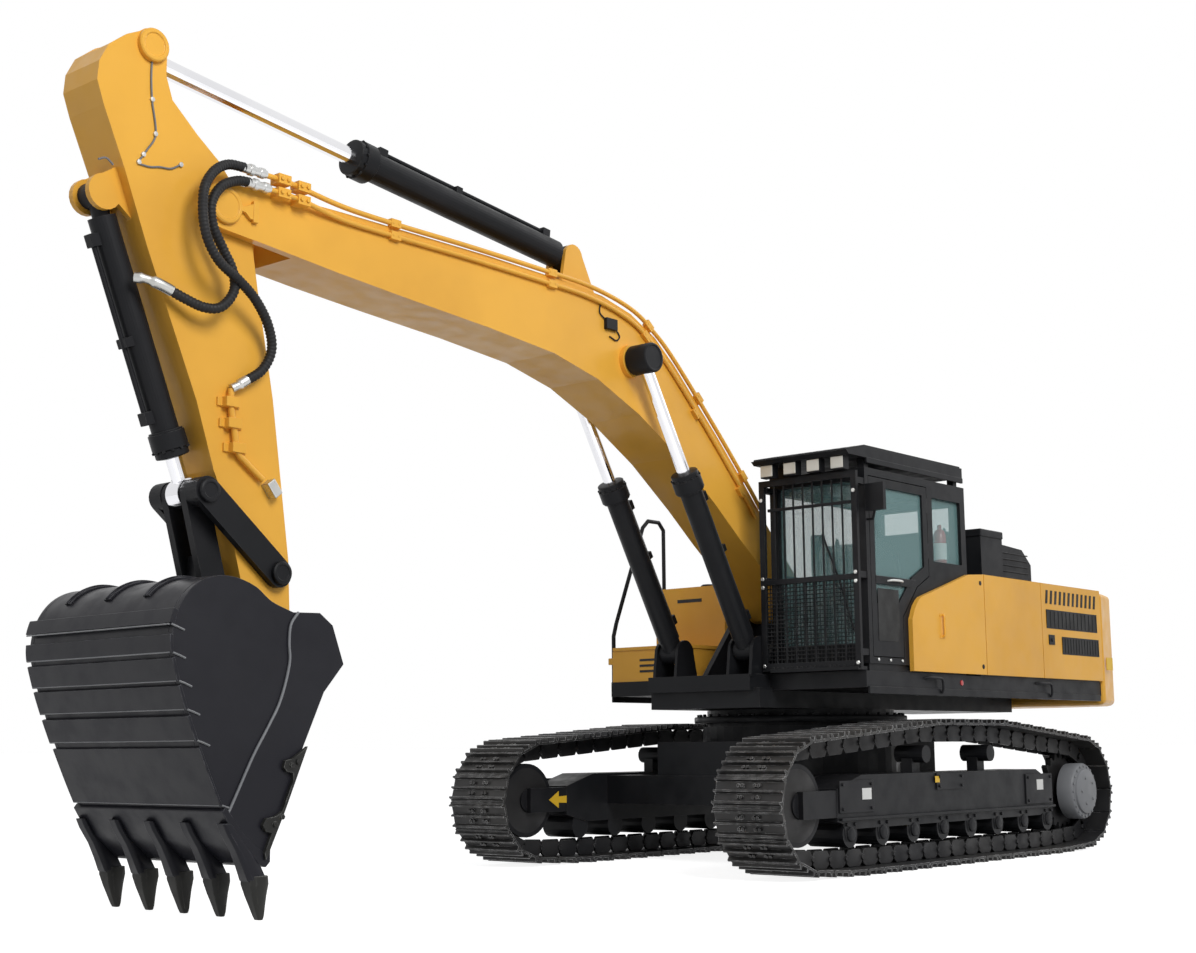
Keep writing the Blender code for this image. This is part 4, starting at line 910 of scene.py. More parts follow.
@dataclass
class Lines:
    """The steel pipes, the clamps and the hoses on the boom and the arm."""

    face: float = BOOM_HALF
    arm_face: float = ARM_HALF

    def build(self, shop: Workshop) -> None:
        """Makes the lines from the boom's foot to the arm."""
        self.pipes(shop)
        self.clamps(shop)
        self.hoses(shop)
        self.arm_lines(shop)

    def pipes(self, shop: Workshop) -> None:
        """Makes the two pipes along the upper edge of the boom's left side."""
        one = [(6.30, 0.300, 4.555), (6.06, 0.300, 4.548), (5.60, 0.272, 4.510), (5.10, 0.268, 4.500),
               (4.43, 0.268, 4.500), (3.70, 0.268, 4.490), (3.10, 0.268, 4.470), (2.62, 0.268, 4.385),
               (2.33, 0.268, 4.245), (2.05, 0.268, 4.040), (1.50, 0.268, 3.540), (1.06, 0.268, 3.110),
               (0.92, 0.268, 2.960)]
        two = [(6.26, 0.310, 4.465), (5.98, 0.305, 4.455), (5.60, 0.272, 4.420), (5.12, 0.268, 4.415),
               (4.45, 0.268, 4.415), (3.72, 0.268, 4.405), (3.12, 0.268, 4.385), (2.66, 0.268, 4.300),
               (2.38, 0.268, 4.165), (2.10, 0.268, 3.960), (1.56, 0.268, 3.465), (1.12, 0.268, 3.030),
               (0.98, 0.268, 2.880)]
        for name, points in (("upper_boom_pipe", one), ("lower_boom_pipe", two)):
            shop.piece(name, sweep(curve(points, 8), 0.018, 12), Look.YELLOW, "boom",
                       smooth=60)

    def clamps(self, shop: Workshop) -> None:
        """Makes the clamps that hold the two pipes, the sensor box and the pin caps of the boom."""
        table = ((5.14, 4.502, 4.415, 0), (3.55, 4.486, 4.400, 0),
                 (2.40, 4.285, 4.195, 38), (1.76, 3.790, 3.665, 43), (1.16, 3.210, 3.080, 45))
        pairs = []
        for x, high, low, turn in table:
            one = block((-0.045, 0.245, -0.028), (0.045, 0.287, 0.028))
            bolt = turned([(0.0, 0.0), (0.010, 0.0), (0.010, 0.0025), (0.0, 0.003)], (0, 0.287, 0), sides=6)
            one = one.plus(bolt.at([(-0.025, 0, 0), (0.025, 0, 0)]))
            c, s = math.cos(math.radians(turn)), math.sin(math.radians(turn))
            matrix = np.array([[(c, 0, -s), (0, 1, 0), (s, 0, c)]] * 2)
            shift = 0.055 * s
            pairs.append(one.copies(matrix, np.array([(x, 0, high), (x + shift, 0, low)])))
        tall = block((-0.05, 0.245, -0.032), (0.05, 0.335, 0.032)).plus(hex_bolt((-0.025, 0.335, 0)),
                                                                        hex_bolt((0.025, 0.335, 0)))
        skin = joined(pairs).plus(tall.at([(6.14, 0, 4.552), (6.14, 0, 4.462), (5.98, 0, 4.542),
                                           (5.98, 0, 4.452)]))
        shop.piece("pipe_clamps", skin, Look.YELLOW, "boom", bevel=0.006)
        box = block((2.80, 0.25, 4.17), (2.93, 0.285, 4.26))
        shop.piece("sensor_box", box, Look.BLACK, "boom", bevel=0.005)
        wire = curve([(2.93, 0.26, 4.25), (2.985, 0.258, 4.29), (2.97, 0.258, 4.36), (2.90, 0.258, 4.37)],
                     6)
        wire_two = curve([(2.80, 0.26, 4.19), (2.75, 0.258, 4.14), (2.79, 0.258, 4.10),
                          (2.87, 0.258, 4.12)], 6)
        shop.piece("sensor_wires", sweep(wire, 0.006, 8).plus(sweep(wire_two, 0.006, 8)), Look.HOSE, "boom",
                   smooth=60)
        cap = [(0.0, 0.0), (0.118, 0.0), (0.118, 0.022), (0.108, 0.030), (0.090, 0.031), (0.086, 0.024),
               (0.0, 0.024)]
        tip = turned(cap,
                     at_pin(BOOM_TIP, self.face)).plus(block((6.30, self.face, 4.235),
                                                             (6.34, self.face + 0.03, 4.375)))
        lock = prism([(6.33, 4.25), (6.36, 4.25), (6.40, 4.285), (6.46, 4.29), (6.46, 4.32), (6.40, 4.325),
                      (6.33, 4.36)][::-1],
                     (self.face, self.face + 0.026))
        foot = turned(cap, at_pin(BOOM_FOOT, self.face - 0.02))
        skin = tip.plus(lock)
        shop.piece("boom_tip_caps", skin.paired(), Look.YELLOW, "boom", bevel=0.004)
        shop.piece("boom_foot_caps", foot.paired(), Look.YELLOW, "boom", bevel=0.004)

    def hoses(self, shop: Workshop) -> None:
        """Makes the two hoses that cross from the boom to the arm, with their fittings and spiral guard."""
        one = [(6.44, 0.305, 4.560), (6.571, 0.308, 4.545), (6.690, 0.330, 4.465), (6.770, 0.350, 4.335),
               (6.788, 0.37, 4.157), (6.755, 0.38, 4.006), (6.663, 0.38, 3.889), (6.510, 0.365, 3.811),
               (6.354, 0.335, 3.721), (6.226, 0.30, 3.590), (6.170, 0.27, 3.445), (6.225, 0.25, 3.310),
               (6.354, 0.235, 3.215)]
        two = [(6.40, 0.308, 4.472), (6.499, 0.312, 4.457), (6.630, 0.330, 4.385), (6.704, 0.335, 4.259),
               (6.685, 0.33, 4.123), (6.600, 0.33, 3.984), (6.530, 0.33, 3.871), (6.516, 0.33, 3.747),
               (6.600, 0.32, 3.632), (6.712, 0.30, 3.611), (6.840, 0.27, 3.650), (6.930, 0.245, 3.690)]
        for name, points, start, end in (("boom_hose_one", one, one[1], one[-2]),
                                         ("boom_hose_two", two, two[1], two[-2])):
            path = curve(points, 10)
            run = np.r_[0, np.cumsum(np.linalg.norm(np.diff(path, axis=0), axis=1))]
            fine = np.linspace(0, run[-1], int(run[-1] / 0.006))
            path = np.stack([np.interp(fine, run, path[:, k]) for k in range(3)], axis=1)
            coil = 0.0285 + 0.0035 * (np.sin(fine * 2 * np.pi / 0.024) > 0)
            shop.piece(name, sweep(path, coil, 14), Look.HOSE, "boom", smooth=50,
                       across=("arm", start, end))
        fit = [(0.0, 0.0), (0.026, 0.0), (0.026, 0.02), (0.034, 0.02), (0.034, 0.055), (0.028, 0.06),
               (0.028, 0.10), (0.038, 0.105), (0.038, 0.135), (0.030, 0.14), (0.030, 0.19), (0.0, 0.19)]
        sleeve = turned(fit, (0, 0, 0), axis=0, sides=20)
        shop.piece("boom_hose_fittings", sleeve.at([(6.27, 0.303, 4.557), (6.24, 0.308, 4.468)]),
                   Look.STEEL, "boom", bevel=0.002, levels=1)
        tail = curve([(6.91, 0.250, 3.682), (7.00, 0.232, 3.715), (7.07, 0.20, 3.735),
                      (7.115, 0.16, 3.742)], 6)
        radius = np.interp(np.linspace(0, 1, len(tail)), (0, 0.45, 0.5, 0.7, 0.75, 1),
                           (0.035, 0.035, 0.026, 0.026, 0.034, 0.030))
        other = curve([(6.33, 0.238, 3.232), (6.38, 0.228, 3.195), (6.43, 0.215, 3.165)], 6)
        wide = np.interp(np.linspace(0, 1, len(other)), (0, 0.5, 0.55, 1), (0.034, 0.034, 0.026, 0.030))
        skin = sweep(tail, radius, 16).plus(sweep(other, wide, 16))
        shop.piece("arm_hose_fittings", skin, Look.STEEL, "arm", smooth=45)

    def arm_lines(self, shop: Workshop) -> None:
        """Makes the arm's pipe with its clamps and flange, the grease lines with their points, and the pin caps.
        """
        pipe = curve([(6.43, 0.212, 3.165), (6.425, 0.21, 3.05), (6.395, 0.21, 2.90), (6.37, 0.21, 2.78),
                      (6.29, 0.21, 2.71), (6.17, 0.21, 2.625)], 8)
        shop.piece("arm_pipe", sweep(pipe, 0.021, 12), Look.YELLOW, "arm", smooth=60)
        clamp = block((-0.05, 0.178, -0.032), (0.05, 0.242, 0.032))
        clamp = clamp.plus(block((-0.085, 0.178, -0.028), (0.085, 0.196, 0.028)))
        spots = [(6.43, 0, 3.08), (6.41, 0, 2.95), (6.375, 0, 2.80)]
        shop.piece("arm_pipe_clamps", clamp.at(spots), Look.YELLOW, "arm", bevel=0.005)
        flange = block((-0.035, 0.176, -0.055), (0.035, 0.252, 0.055))
        turn = np.array([[(0.78, 0, 0.62), (0, 1, 0), (-0.62, 0, 0.78)]])
        shop.piece("arm_flange", flange.copies(turn, np.array([(6.10, 0, 2.575)])), Look.STEEL, "arm",
                   bevel=0.008)
        y = self.arm_face + 0.006
        one = curve([(7.06, y, 5.12), (7.062, y, 5.00), (7.05, y, 4.85), (7.017, y, 4.65),
                     (7.075, y, 4.535), (7.13, y, 4.45)], 8)
        two = curve([(7.13, y, 4.435), (7.05, y, 4.435), (6.98, y, 4.452), (6.90, y, 4.462),
                     (6.83, y, 4.505)], 8)
        three = curve([(7.36, 0.116, 4.42), (7.31, 0.118, 4.44), (7.26, 0.118, 4.41)], 6)
        shop.piece("grease_lines",
                   sweep(one, 0.0065, 8).plus(sweep(two, 0.0065, 8), sweep(three, 0.0065, 8)), Look.CAST,
                   "arm", smooth=60)
        knob = turned([(0.0, 0.0), (0.016, 0.0), (0.016, 0.014), (0.0, 0.016)], (0, self.arm_face, 0),
                      sides=6)
        skin = knob.at([(7.06, 0, 5.11), (7.05, 0, 4.86), (7.02, 0, 4.65), (7.13, 0, 4.445),
                        (6.83, 0, 4.505), (7.10, 0, 4.50)])
        shop.piece("grease_points", skin, Look.STEEL, "arm")
        cap = [(0.0, 0.0), (0.105, 0.0), (0.105, 0.030), (0.096, 0.038), (0.076, 0.039), (0.070, 0.030),
               (0.0, 0.030)]
        skin = turned(cap, at_pin(ARM_CYL_EYE, self.arm_face))
        skin = skin.plus(turned(cap, at_pin(BUCKET_PIN, self.arm_face)).moved((0, -0.035, 0)))
        shop.piece("arm_pin_caps", skin.paired(), Look.YELLOW, "arm", bevel=0.004)


@dataclass
class Linkage:
    """The caps and lines on the rocker, the link and the cylinders."""

    def build(self, shop: Workshop) -> None:
        """Makes the caps, the cylinder heads and the tubes along the barrels."""
        self.caps(shop)
        for name, foot, eye, y, bore, gland, body in (
            ("left_boom_cylinder", BOOM_CYL_FOOT, BOOM_CYL_EYE, BOOM_CYL_Y, 0.092, 1.60,
             "left_boom_barrel"),
            ("right_boom_cylinder", BOOM_CYL_FOOT, BOOM_CYL_EYE, -BOOM_CYL_Y, 0.092, 1.60,
             "right_boom_barrel"),
            ("arm_cylinder", ARM_CYL_FOOT, ARM_CYL_EYE, 0.0, 0.105, 2.22, "arm_barrel"),
            ("bucket_cylinder", BUCKET_CYL_FOOT, LINK_PIN, 0.0, 0.085, 1.62, "bucket_barrel"),
        ):
            self.barrel(shop, name, foot, eye, y, bore, gland, body)

    def caps(self, shop: Workshop) -> None:
        """Makes the bolted caps over the pins."""
        cap = [(0.0, 0.0), (0.072, 0.0), (0.072, 0.026), (0.064, 0.032), (0.05, 0.033), (0.046, 0.026),
               (0.0, 0.026)]
        skin = turned(cap, at_pin(ROCKER_PIN, 0.240)).plus(turned(cap, at_pin(LINK_PIN, 0.240)))
        shop.piece("rocker_caps", skin.paired(), Look.BLACK, "rocker", bevel=0.003)
        big = [(0.0, -0.186), (0.118, -0.186), (0.118, 0.0), (0.112, 0.012), (0.098, 0.014), (0.094, 0.006),
               (0.0, 0.006)]
        for side, sign in (("left", 1), ("right", -1)):
            one = turned(big, at_pin(BOOM_CYL_EYE, 0.486), sides=40)
            shop.piece(side + "_rod_eye", one.on_side(sign), Look.BLACK, side + "_boom_rod", bevel=0.003)

    def barrel(self, shop: Workshop, name: str, foot: tuple, eye: tuple, y: float, bore: float,
               gland: float, body: str) -> None:
        """Makes one cylinder's bolted head, its two end ports and the tube between them.

        Args:
            name: the cylinder's name.
            foot: X and Z of the foot pin.
            eye: X and Z of the rod's eye.
            y: the cylinder's place across the machine.
            bore: the barrel's radius.
            gland: distance from the foot pin to the head's outer face.
            body: the body it rides on.
        """
        start, end = np.array(at_pin(foot, y)), np.array(at_pin(eye, y))
        way = (end - start) / np.linalg.norm(end - start)
        top = np.array((-way[2], 0, way[0]))
        cross = np.cross(way, top)
        turn = np.stack([way, cross, top], axis=1)[None]
        r = bore * 1.32
        head = turned([(bore * 1.15, -0.15), (r, -0.15), (r, -0.045), (bore * 1.2, -0.04),
                       (bore * 1.2, 0.004), (bore * 0.7, 0.012)], (0, 0, 0), axis=0, sides=40)
        bolt = turned([(0.0, 0.0), (0.012, 0.0), (0.012, 0.016), (0.0, 0.017)], (-0.047, 0, 0), axis=0,
                      sides=6)
        t = np.linspace(0, 2 * np.pi, 12, endpoint=False)
        head = head.plus(bolt.at([(0, bore * 1.26 * math.cos(a), bore * 1.26 * math.sin(a)) for a in t]))
        skin = head.copies(turn, (start + way * gland)[None])
        port = block((-0.04, -0.035, bore * 0.8), (0.04, 0.035, bore + 0.055))
        places = np.array([start + way * 0.26, start + way * (gland - 0.26)])
        skin = skin.plus(port.copies(np.repeat(turn, 2, axis=0), places))
        band = block((-0.03, -0.05, bore * 0.7), (0.03, 0.05, bore + 0.038))
        skin = skin.plus(band.copies(turn, (start + way * (gland * 0.55))[None]))
        shop.piece(name + "_head", skin, Look.BLACK, body, bevel=0.004, levels=1)
        lift = top * (bore + 0.028)
        line = np.array([start + way * 0.26 + lift, start + way * gland * 0.5 + lift,
                         start + way * (gland - 0.26) + lift])
        shop.piece(name + "_tube", sweep(line, 0.016, 10), Look.BLACK, body, smooth=60)


# ------------------------------------------------------------------ cab

@dataclass
class Cab:
    """The glass, the guard's mesh, the lamps and the trim of the cab."""

    lamp_rows: tuple = (0.66, 0.887, 1.113, 1.34)
    guard: tuple = (0.57, 1.41)

    def build(self, shop: Workshop) -> None:
        """Makes what the plain cab lacks."""
        self.glazing(shop)
        self.screen(shop)
        self.roof(shop)
        self.trim(shop)

    def glazing(self, shop: Workshop) -> None:
        """Makes the panes of the windscreen, the sides, the rear and the door, with a near-black sheet of painted
        shade in the door's lower window.
        """
        shop.piece("windscreen_glass", block((1.100, 0.605, 1.755), (1.106, 1.395, 3.065)), Look.GLASS,
                   "upper")
        shop.piece("rear_glass", block((-0.420, 0.655, 2.445), (-0.414, 1.345, 3.005)), Look.GLASS, "upper")
        shop.piece("right_side_glass", block((-0.335, 0.570, 2.345), (1.045, 0.576, 3.025)), Look.GLASS,
                   "upper")
        shop.piece("left_rear_glass", block((-0.375, 1.425, 2.475), (0.115, 1.431, 3.025)), Look.GLASS,
                   "upper")
        door = [(0.705, 2.074), (1.037, 2.074), (1.037, 3.027), (0.265, 3.027), (0.265, 2.415),
                (0.467, 2.316)]
        shop.piece("door_glass", prism(door, (1.435, 1.441)), Look.GLASS, "cab_door")
        # Painted shade: an opaque near-black sheet stands for the shaded cab seen through the door's lower window.
        low = [(0.735, 1.78), (1.02, 1.78), (1.02, 2.20), (0.70, 2.20), (0.70, 1.84)]
        shop.piece("door_lower_window_shade", prism(low, (1.458, 1.464)), Look.DARK, "cab_door", bevel=0.002)
        bar = prism([(0.50, 2.235), (1.04, 2.235), (1.04, 2.30), (0.42, 2.30)], (1.425, 1.464))
        shop.piece("door_bar", bar, Look.BLACK, "cab_door", bevel=0.004)

    def screen(self, shop: Workshop) -> None:
        """Makes the wire mesh over the lower half of the front guard, and the bolts that hold the guard."""
        x, (left, right), (low, high) = 1.274, self.guard, (1.62, 2.26)
        across = sweep(np.array([(x, left, 0), (x, (left + right) / 2, 0), (x, right, 0)], float), 0.0045,
                       5)
        upright = sweep(np.array([(x - 0.009, 0, low), (x - 0.009, 0, (low + high) / 2),
                                  (x - 0.009, 0, high)], float), 0.0045, 5)
        skin = across.at([(0, 0, z) for z in np.arange(low + 0.03, high, 0.032)])
        skin = skin.plus(upright.at([(0, y, 0) for y in np.arange(left + 0.03, right, 0.032)]))
        shop.piece("guard_mesh", skin, Look.BLACK, "upper", smooth=80)
        spots = [(0, y, z) for y in (0.545, 1.435) for z in (1.60, 2.24, 2.31, 2.96)]
        shop.piece("guard_bolts", hex_bolt((1.289, 0, 0), axis=0, radius=0.017, out=0.014).at(spots),
                   Look.STEEL, "upper")
        rail = block((1.262, 0.60, 2.86), (1.286, 1.40, 2.885))
        shop.piece("guard_rail", rail, Look.BLACK, "upper", bevel=0.003)

    def roof(self, shop: Workshop) -> None:
        """Makes the ribs across the roof guard and the four lamps' pale faces."""
        rib = prism([(-0.43, 3.328), (1.12, 3.328), (1.415, 3.268), (1.405, 3.286), (1.115, 3.348),
                     (-0.43, 3.348)],
                    (-0.022, 0.022))
        shop.piece("roof_ribs", rib.at([(0, y, 0) for y in np.linspace(0.58, 1.42, 11)]), Look.BLACK,
                   "upper", bevel=0.004)
        face = block((1.366, -0.058, 3.138), (1.377, 0.058, 3.232))
        shop.piece("roof_lamps", face.at([(0, y, 0) for y in self.lamp_rows]), Look.LENS, "upper",
                   bevel=0.006)
        lip = block((-0.44, 1.44, 3.20), (1.12, 1.462, 3.245))
        shop.piece("roof_side_lip", lip, Look.BLACK, "upper", bevel=0.004)

    def trim(self, shop: Workshop) -> None:
        """Makes the door's handle, the wiper, the mirror's glass, the extinguisher and the sill's bolts."""
        grip = curve([(0.86, 1.46, 2.265), (0.84, 1.49, 2.27), (0.76, 1.495, 2.272), (0.68, 1.49, 2.27),
                      (0.66, 1.46, 2.265)], 6)
        shop.piece("door_handle", sweep(grip, 0.010, 10), Look.STEEL, "cab_door", smooth=60)
        wiper = sweep(np.array([(1.118, 1.30, 1.86), (1.125, 1.18, 2.26), (1.12, 1.02, 2.66)]), 0.009, 8)
        shop.piece("wiper", wiper, Look.BLACK, "upper", smooth=60)
        # Painted reflection: a plain matte grey stands in for what the mirror's glass reflects.
        glass = block((1.118, 1.485, 2.815), (1.139, 1.627, 3.005))
        shop.piece("mirror_glass", glass, Look.CAST, "upper", bevel=0.02, levels=3)
        tank = [(0.0, -0.17), (0.045, -0.17), (0.055, -0.15), (0.055, 0.11), (0.040, 0.15), (0.018, 0.165),
                (0.018, 0.20), (0.0, 0.20)]
        shop.piece("fire_extinguisher", turned(tank, (-0.18, 1.36, 2.62), axis=2, sides=24), Look.RED,
                   "upper", smooth=50)
        band = [(0.050, -0.10), (0.0565, -0.10), (0.0565, 0.04), (0.050, 0.04)]
        shop.piece("extinguisher_band", turned(band, (-0.18, 1.36, 2.62), axis=2, sides=24), Look.WHITE,
                   "upper", smooth=50)
        bolts = hex_bolt((0, 1.46, 0), radius=0.013).at([(x, 0, 1.63) for x in (0.68, 0.86, 1.04)])
        shop.piece("cab_sill_bolts", bolts, Look.STEEL, "upper")


# ------------------------------------------------------------------ house

@dataclass
class House:
    """The louvres, grilles, latches, ribs and rails of the engine house and the deck."""

    wall: float = 1.50

    def build(self, shop: Workshop) -> None:
        """Makes what the plain house lacks."""
        self.rear_door(shop)
        self.front_door(shop)
        self.hood(shop)
        self.skirt(shop)
        self.right_side(shop)
        self.tail(shop)

    def rear_door(self, shop: Workshop) -> None:
        """Makes the rear door's slanted slots and its two grilles as near-black sheets of painted shade, the
        grilles' bars and rims, and its latch.
        """
        depth, rim_depth = (self.wall - 0.004, self.wall + 0.003), (self.wall - 0.004, self.wall + 0.0015)
        # Painted shade: thin near-black slabs stand for the shade seen through the slanted slots.
        slot = prism([(0.0, 0.0), (0.040, 0.0), (0.018, 0.125), (-0.022, 0.125)], depth)
        louvres = slot.at([(x, 0, 2.235) for x in np.linspace(-2.86, -1.86, 12)])
        grille_shade_panels, bars, rims = [], [], []
        for x0, x1, z0, z1 in ((-2.88, -1.84, 2.02, 2.17), (-2.90, -2.14, 1.79, 1.93)):
            # Painted shade: a near-black sheet stands for the shade behind each grille's bars.
            grille_shade_panels.append(prism([(x0, z0), (x1, z0), (x1, z1), (x0, z1)], depth))
            bar = block((0, self.wall, z0), (0.012, self.wall + 0.007, z1))
            bars.append(bar.at([(x, 0, 0) for x in np.linspace(x0, x1, 14)]))
            rims.append(prism([(x0 - 0.012, z0 - 0.012), (x1 + 0.012, z0 - 0.012), (x1 + 0.012, z1 + 0.012),
                               (x0 - 0.012, z1 + 0.012)], rim_depth))
        latch = block((-1.97, self.wall - 0.002, 1.86), (-1.86, self.wall + 0.008, 1.95))
        knob = turned([(0.0, 0.0), (0.02, 0.0), (0.017, 0.01), (0.0, 0.011)],
                      (-1.915, self.wall + 0.008, 1.905), sides=20)
        table = (("louvres", louvres, Look.DARK), ("grilles", joined(grille_shade_panels), Look.DARK),
                 ("grille_bars", joined(bars), Look.BLACK), ("grille_rims", joined(rims), Look.BLACK),
                 ("latch", latch.plus(knob), Look.BLACK))
        for side, sign in (("left", 1), ("right", -1)):
            for name, part, look in table:
                shop.piece(side + "_" + name, part.on_side(sign), look, side + "_rear_door")

    def front_door(self, shop: Workshop) -> None:
        """Makes the grab bar and the two turn latches on the panel behind the cab."""
        bar = curve([(0.08, self.wall - 0.004, 2.03), (0.08, self.wall + 0.022, 2.02),
                     (0.08, self.wall + 0.022, 1.95), (0.08, self.wall + 0.022, 1.86),
                     (0.08, self.wall - 0.004, 1.85)], 6)
        pads = block((0.035, self.wall - 0.003, 2.015), (0.125, self.wall + 0.004, 2.035))
        skin = sweep(bar, 0.010, 8).plus(pads, pads.moved((0, 0, -0.18)))
        shop.piece("panel_grab_bar", skin, Look.YELLOW, "left_front_door", smooth=50)
        knob = turned([(0.0, -0.002), (0.02, -0.002), (0.02, 0.003), (0.012, 0.006), (0.0, 0.006)],
                      (0, self.wall, 0), sides=20)
        shop.piece("panel_latches", knob.at([(-0.60, 0, 2.34), (-0.60, 0, 1.62)]), Look.DARK,
                   "left_front_door", smooth=50)

    def hood(self, shop: Workshop) -> None:
        """Makes the ribs and the knobs on the hood, the cone by the cab and the air filter's lid."""
        seam = block((-2.90, 0.796, 0), (-1.56, 0.808, 0.012))
        rows = [(0, 0, z) for z in (2.50, 2.56, 2.62, 2.68, 2.74, 2.80)]
        strips = seam.at(rows)
        shop.piece("hood_ribs", strips.paired(), Look.BLACK, "engine_hood", bevel=0.003, levels=1)
        eye = turned([(0.0, 0.0), (0.028, 0.0), (0.022, 0.05), (0.010, 0.085), (0.0, 0.09)], (0, 0, 2.905),
                     axis=2, sides=16)
        shop.piece("hood_knobs", eye.at([(-1.62, 0.60, 0), (-1.62, -0.60, 0)]), Look.BLACK, "engine_hood",
                   smooth=50)
        cone = [(0.0, 0.0), (0.125, 0.0), (0.120, 0.22), (0.085, 0.40), (0.030, 0.47), (0.024, 0.52),
                (0.0, 0.53)]
        shop.piece("exhaust_cowl", turned(cone, (-1.36, 0.70, 2.4205), axis=2, sides=32), Look.CAST,
                   "upper", smooth=50)
        lid = block((-1.39, 0.89, 2.80), (-0.97, 1.33, 2.87))
        shop.piece("filter_lid", lid, Look.BLACK, "upper", bevel=0.012)

    def skirt(self, shop: Workshop) -> None:
        """Makes the skirt's lower lip, the red reflector, the small grab bars and the step by the cab."""
        lip = block((-2.96, 1.455, 1.36), (1.20, 1.475, 1.42))
        shop.piece("deck_lips", lip.plus(block((-2.96, -1.475, 1.36), (0.84, -1.455, 1.42))), Look.BLACK,
                   "upper", bevel=0.005)
        dot = turned([(0.0, -0.002), (0.024, -0.002), (0.022, 0.006), (0.0, 0.008)], (-0.28, 1.46, 1.475),
                     sides=20)
        shop.piece("reflector", dot, Look.RED, "upper", smooth=50)
        hook = curve([(0.34, 1.458, 1.50), (0.30, 1.49, 1.505), (0.16, 1.495, 1.505), (0.10, 1.495, 1.49),
                      (0.09, 1.495, 1.42), (0.09, 1.48, 1.38)], 6)
        skin = sweep(hook, 0.011, 8)
        shop.piece("deck_grab_bars", skin.plus(skin.moved((-1.98, 0, 0))), Look.BLACK, "upper", smooth=60)
        tread = block((1.17, 0.60, 1.545), (1.30, 1.44, 1.575))
        teeth = block((1.175, 0.62, 1.575),
                      (1.295, 0.64, 1.59)).at([(0, y, 0) for y in np.arange(0.0, 0.80, 0.045)])
        shop.piece("cab_step", tread.plus(teeth), Look.BLACK, "upper", bevel=0.003, levels=1)

    def right_side(self, shop: Workshop) -> None:
        """Makes the tool box's slots and the tank's slot as near-black strips of painted shade, and the filler
        cap, on the right-hand side.
        """
        # Painted shade: near-black strips stand for the shade inside the tool box's slots.
        slot = block((0.838, -0.10, 0), (0.844, 0.10, 0.02)).at([(0, -1.04, z) for z in (1.62, 1.67, 1.72)])
        shop.piece("tool_box_slots", slot, Look.DARK, "upper")
        cap = turned([(0.0, 0.0), (0.075, 0.0), (0.075, 0.035), (0.06, 0.045), (0.0, 0.045)],
                     (-0.10, -1.06, 2.42), axis=2, sides=28)
        shop.piece("filler_cap", cap, Look.BLACK, "upper", bevel=0.003)
        # Painted shade: a near-black strip stands for the shade inside the tank's slot.
        shop.piece("tank_front_slot", block((0.197, -1.20, 2.28), (0.204, -0.92, 2.31)), Look.DARK, "upper")
        clamp = block((0.762, -1.515, 1.70), (0.838, -1.455, 1.76))
        shop.piece("rail_clamp", clamp, Look.YELLOW, "upper", bevel=0.006)

    def tail(self, shop: Workshop) -> None:
        """Makes the two lifting eyes and the blank plate on the counterweight."""
        eye = prism(np.array([(-3.34 + 0.07 * math.cos(a), 2.45 + 0.07 * math.sin(a))
                              for a in np.linspace(0, 2 * np.pi, 24)][:-1]),
                    (0.86, 0.90))
        shop.piece("lifting_eyes", eye.paired(), Look.YELLOW, "upper", bevel=0.006)
        plate = block((-3.20, 1.494, 1.66), (-3.07, 1.503, 1.78))
        shop.piece("blank_tail_plate", plate, Look.MARK, "upper")


ASSEMBLIES: tuple = (Tracks(), Undercarriage(), Bucket(), Lines(), Linkage(), Cab(), House())


# ------------------------------------------------------------------ studio

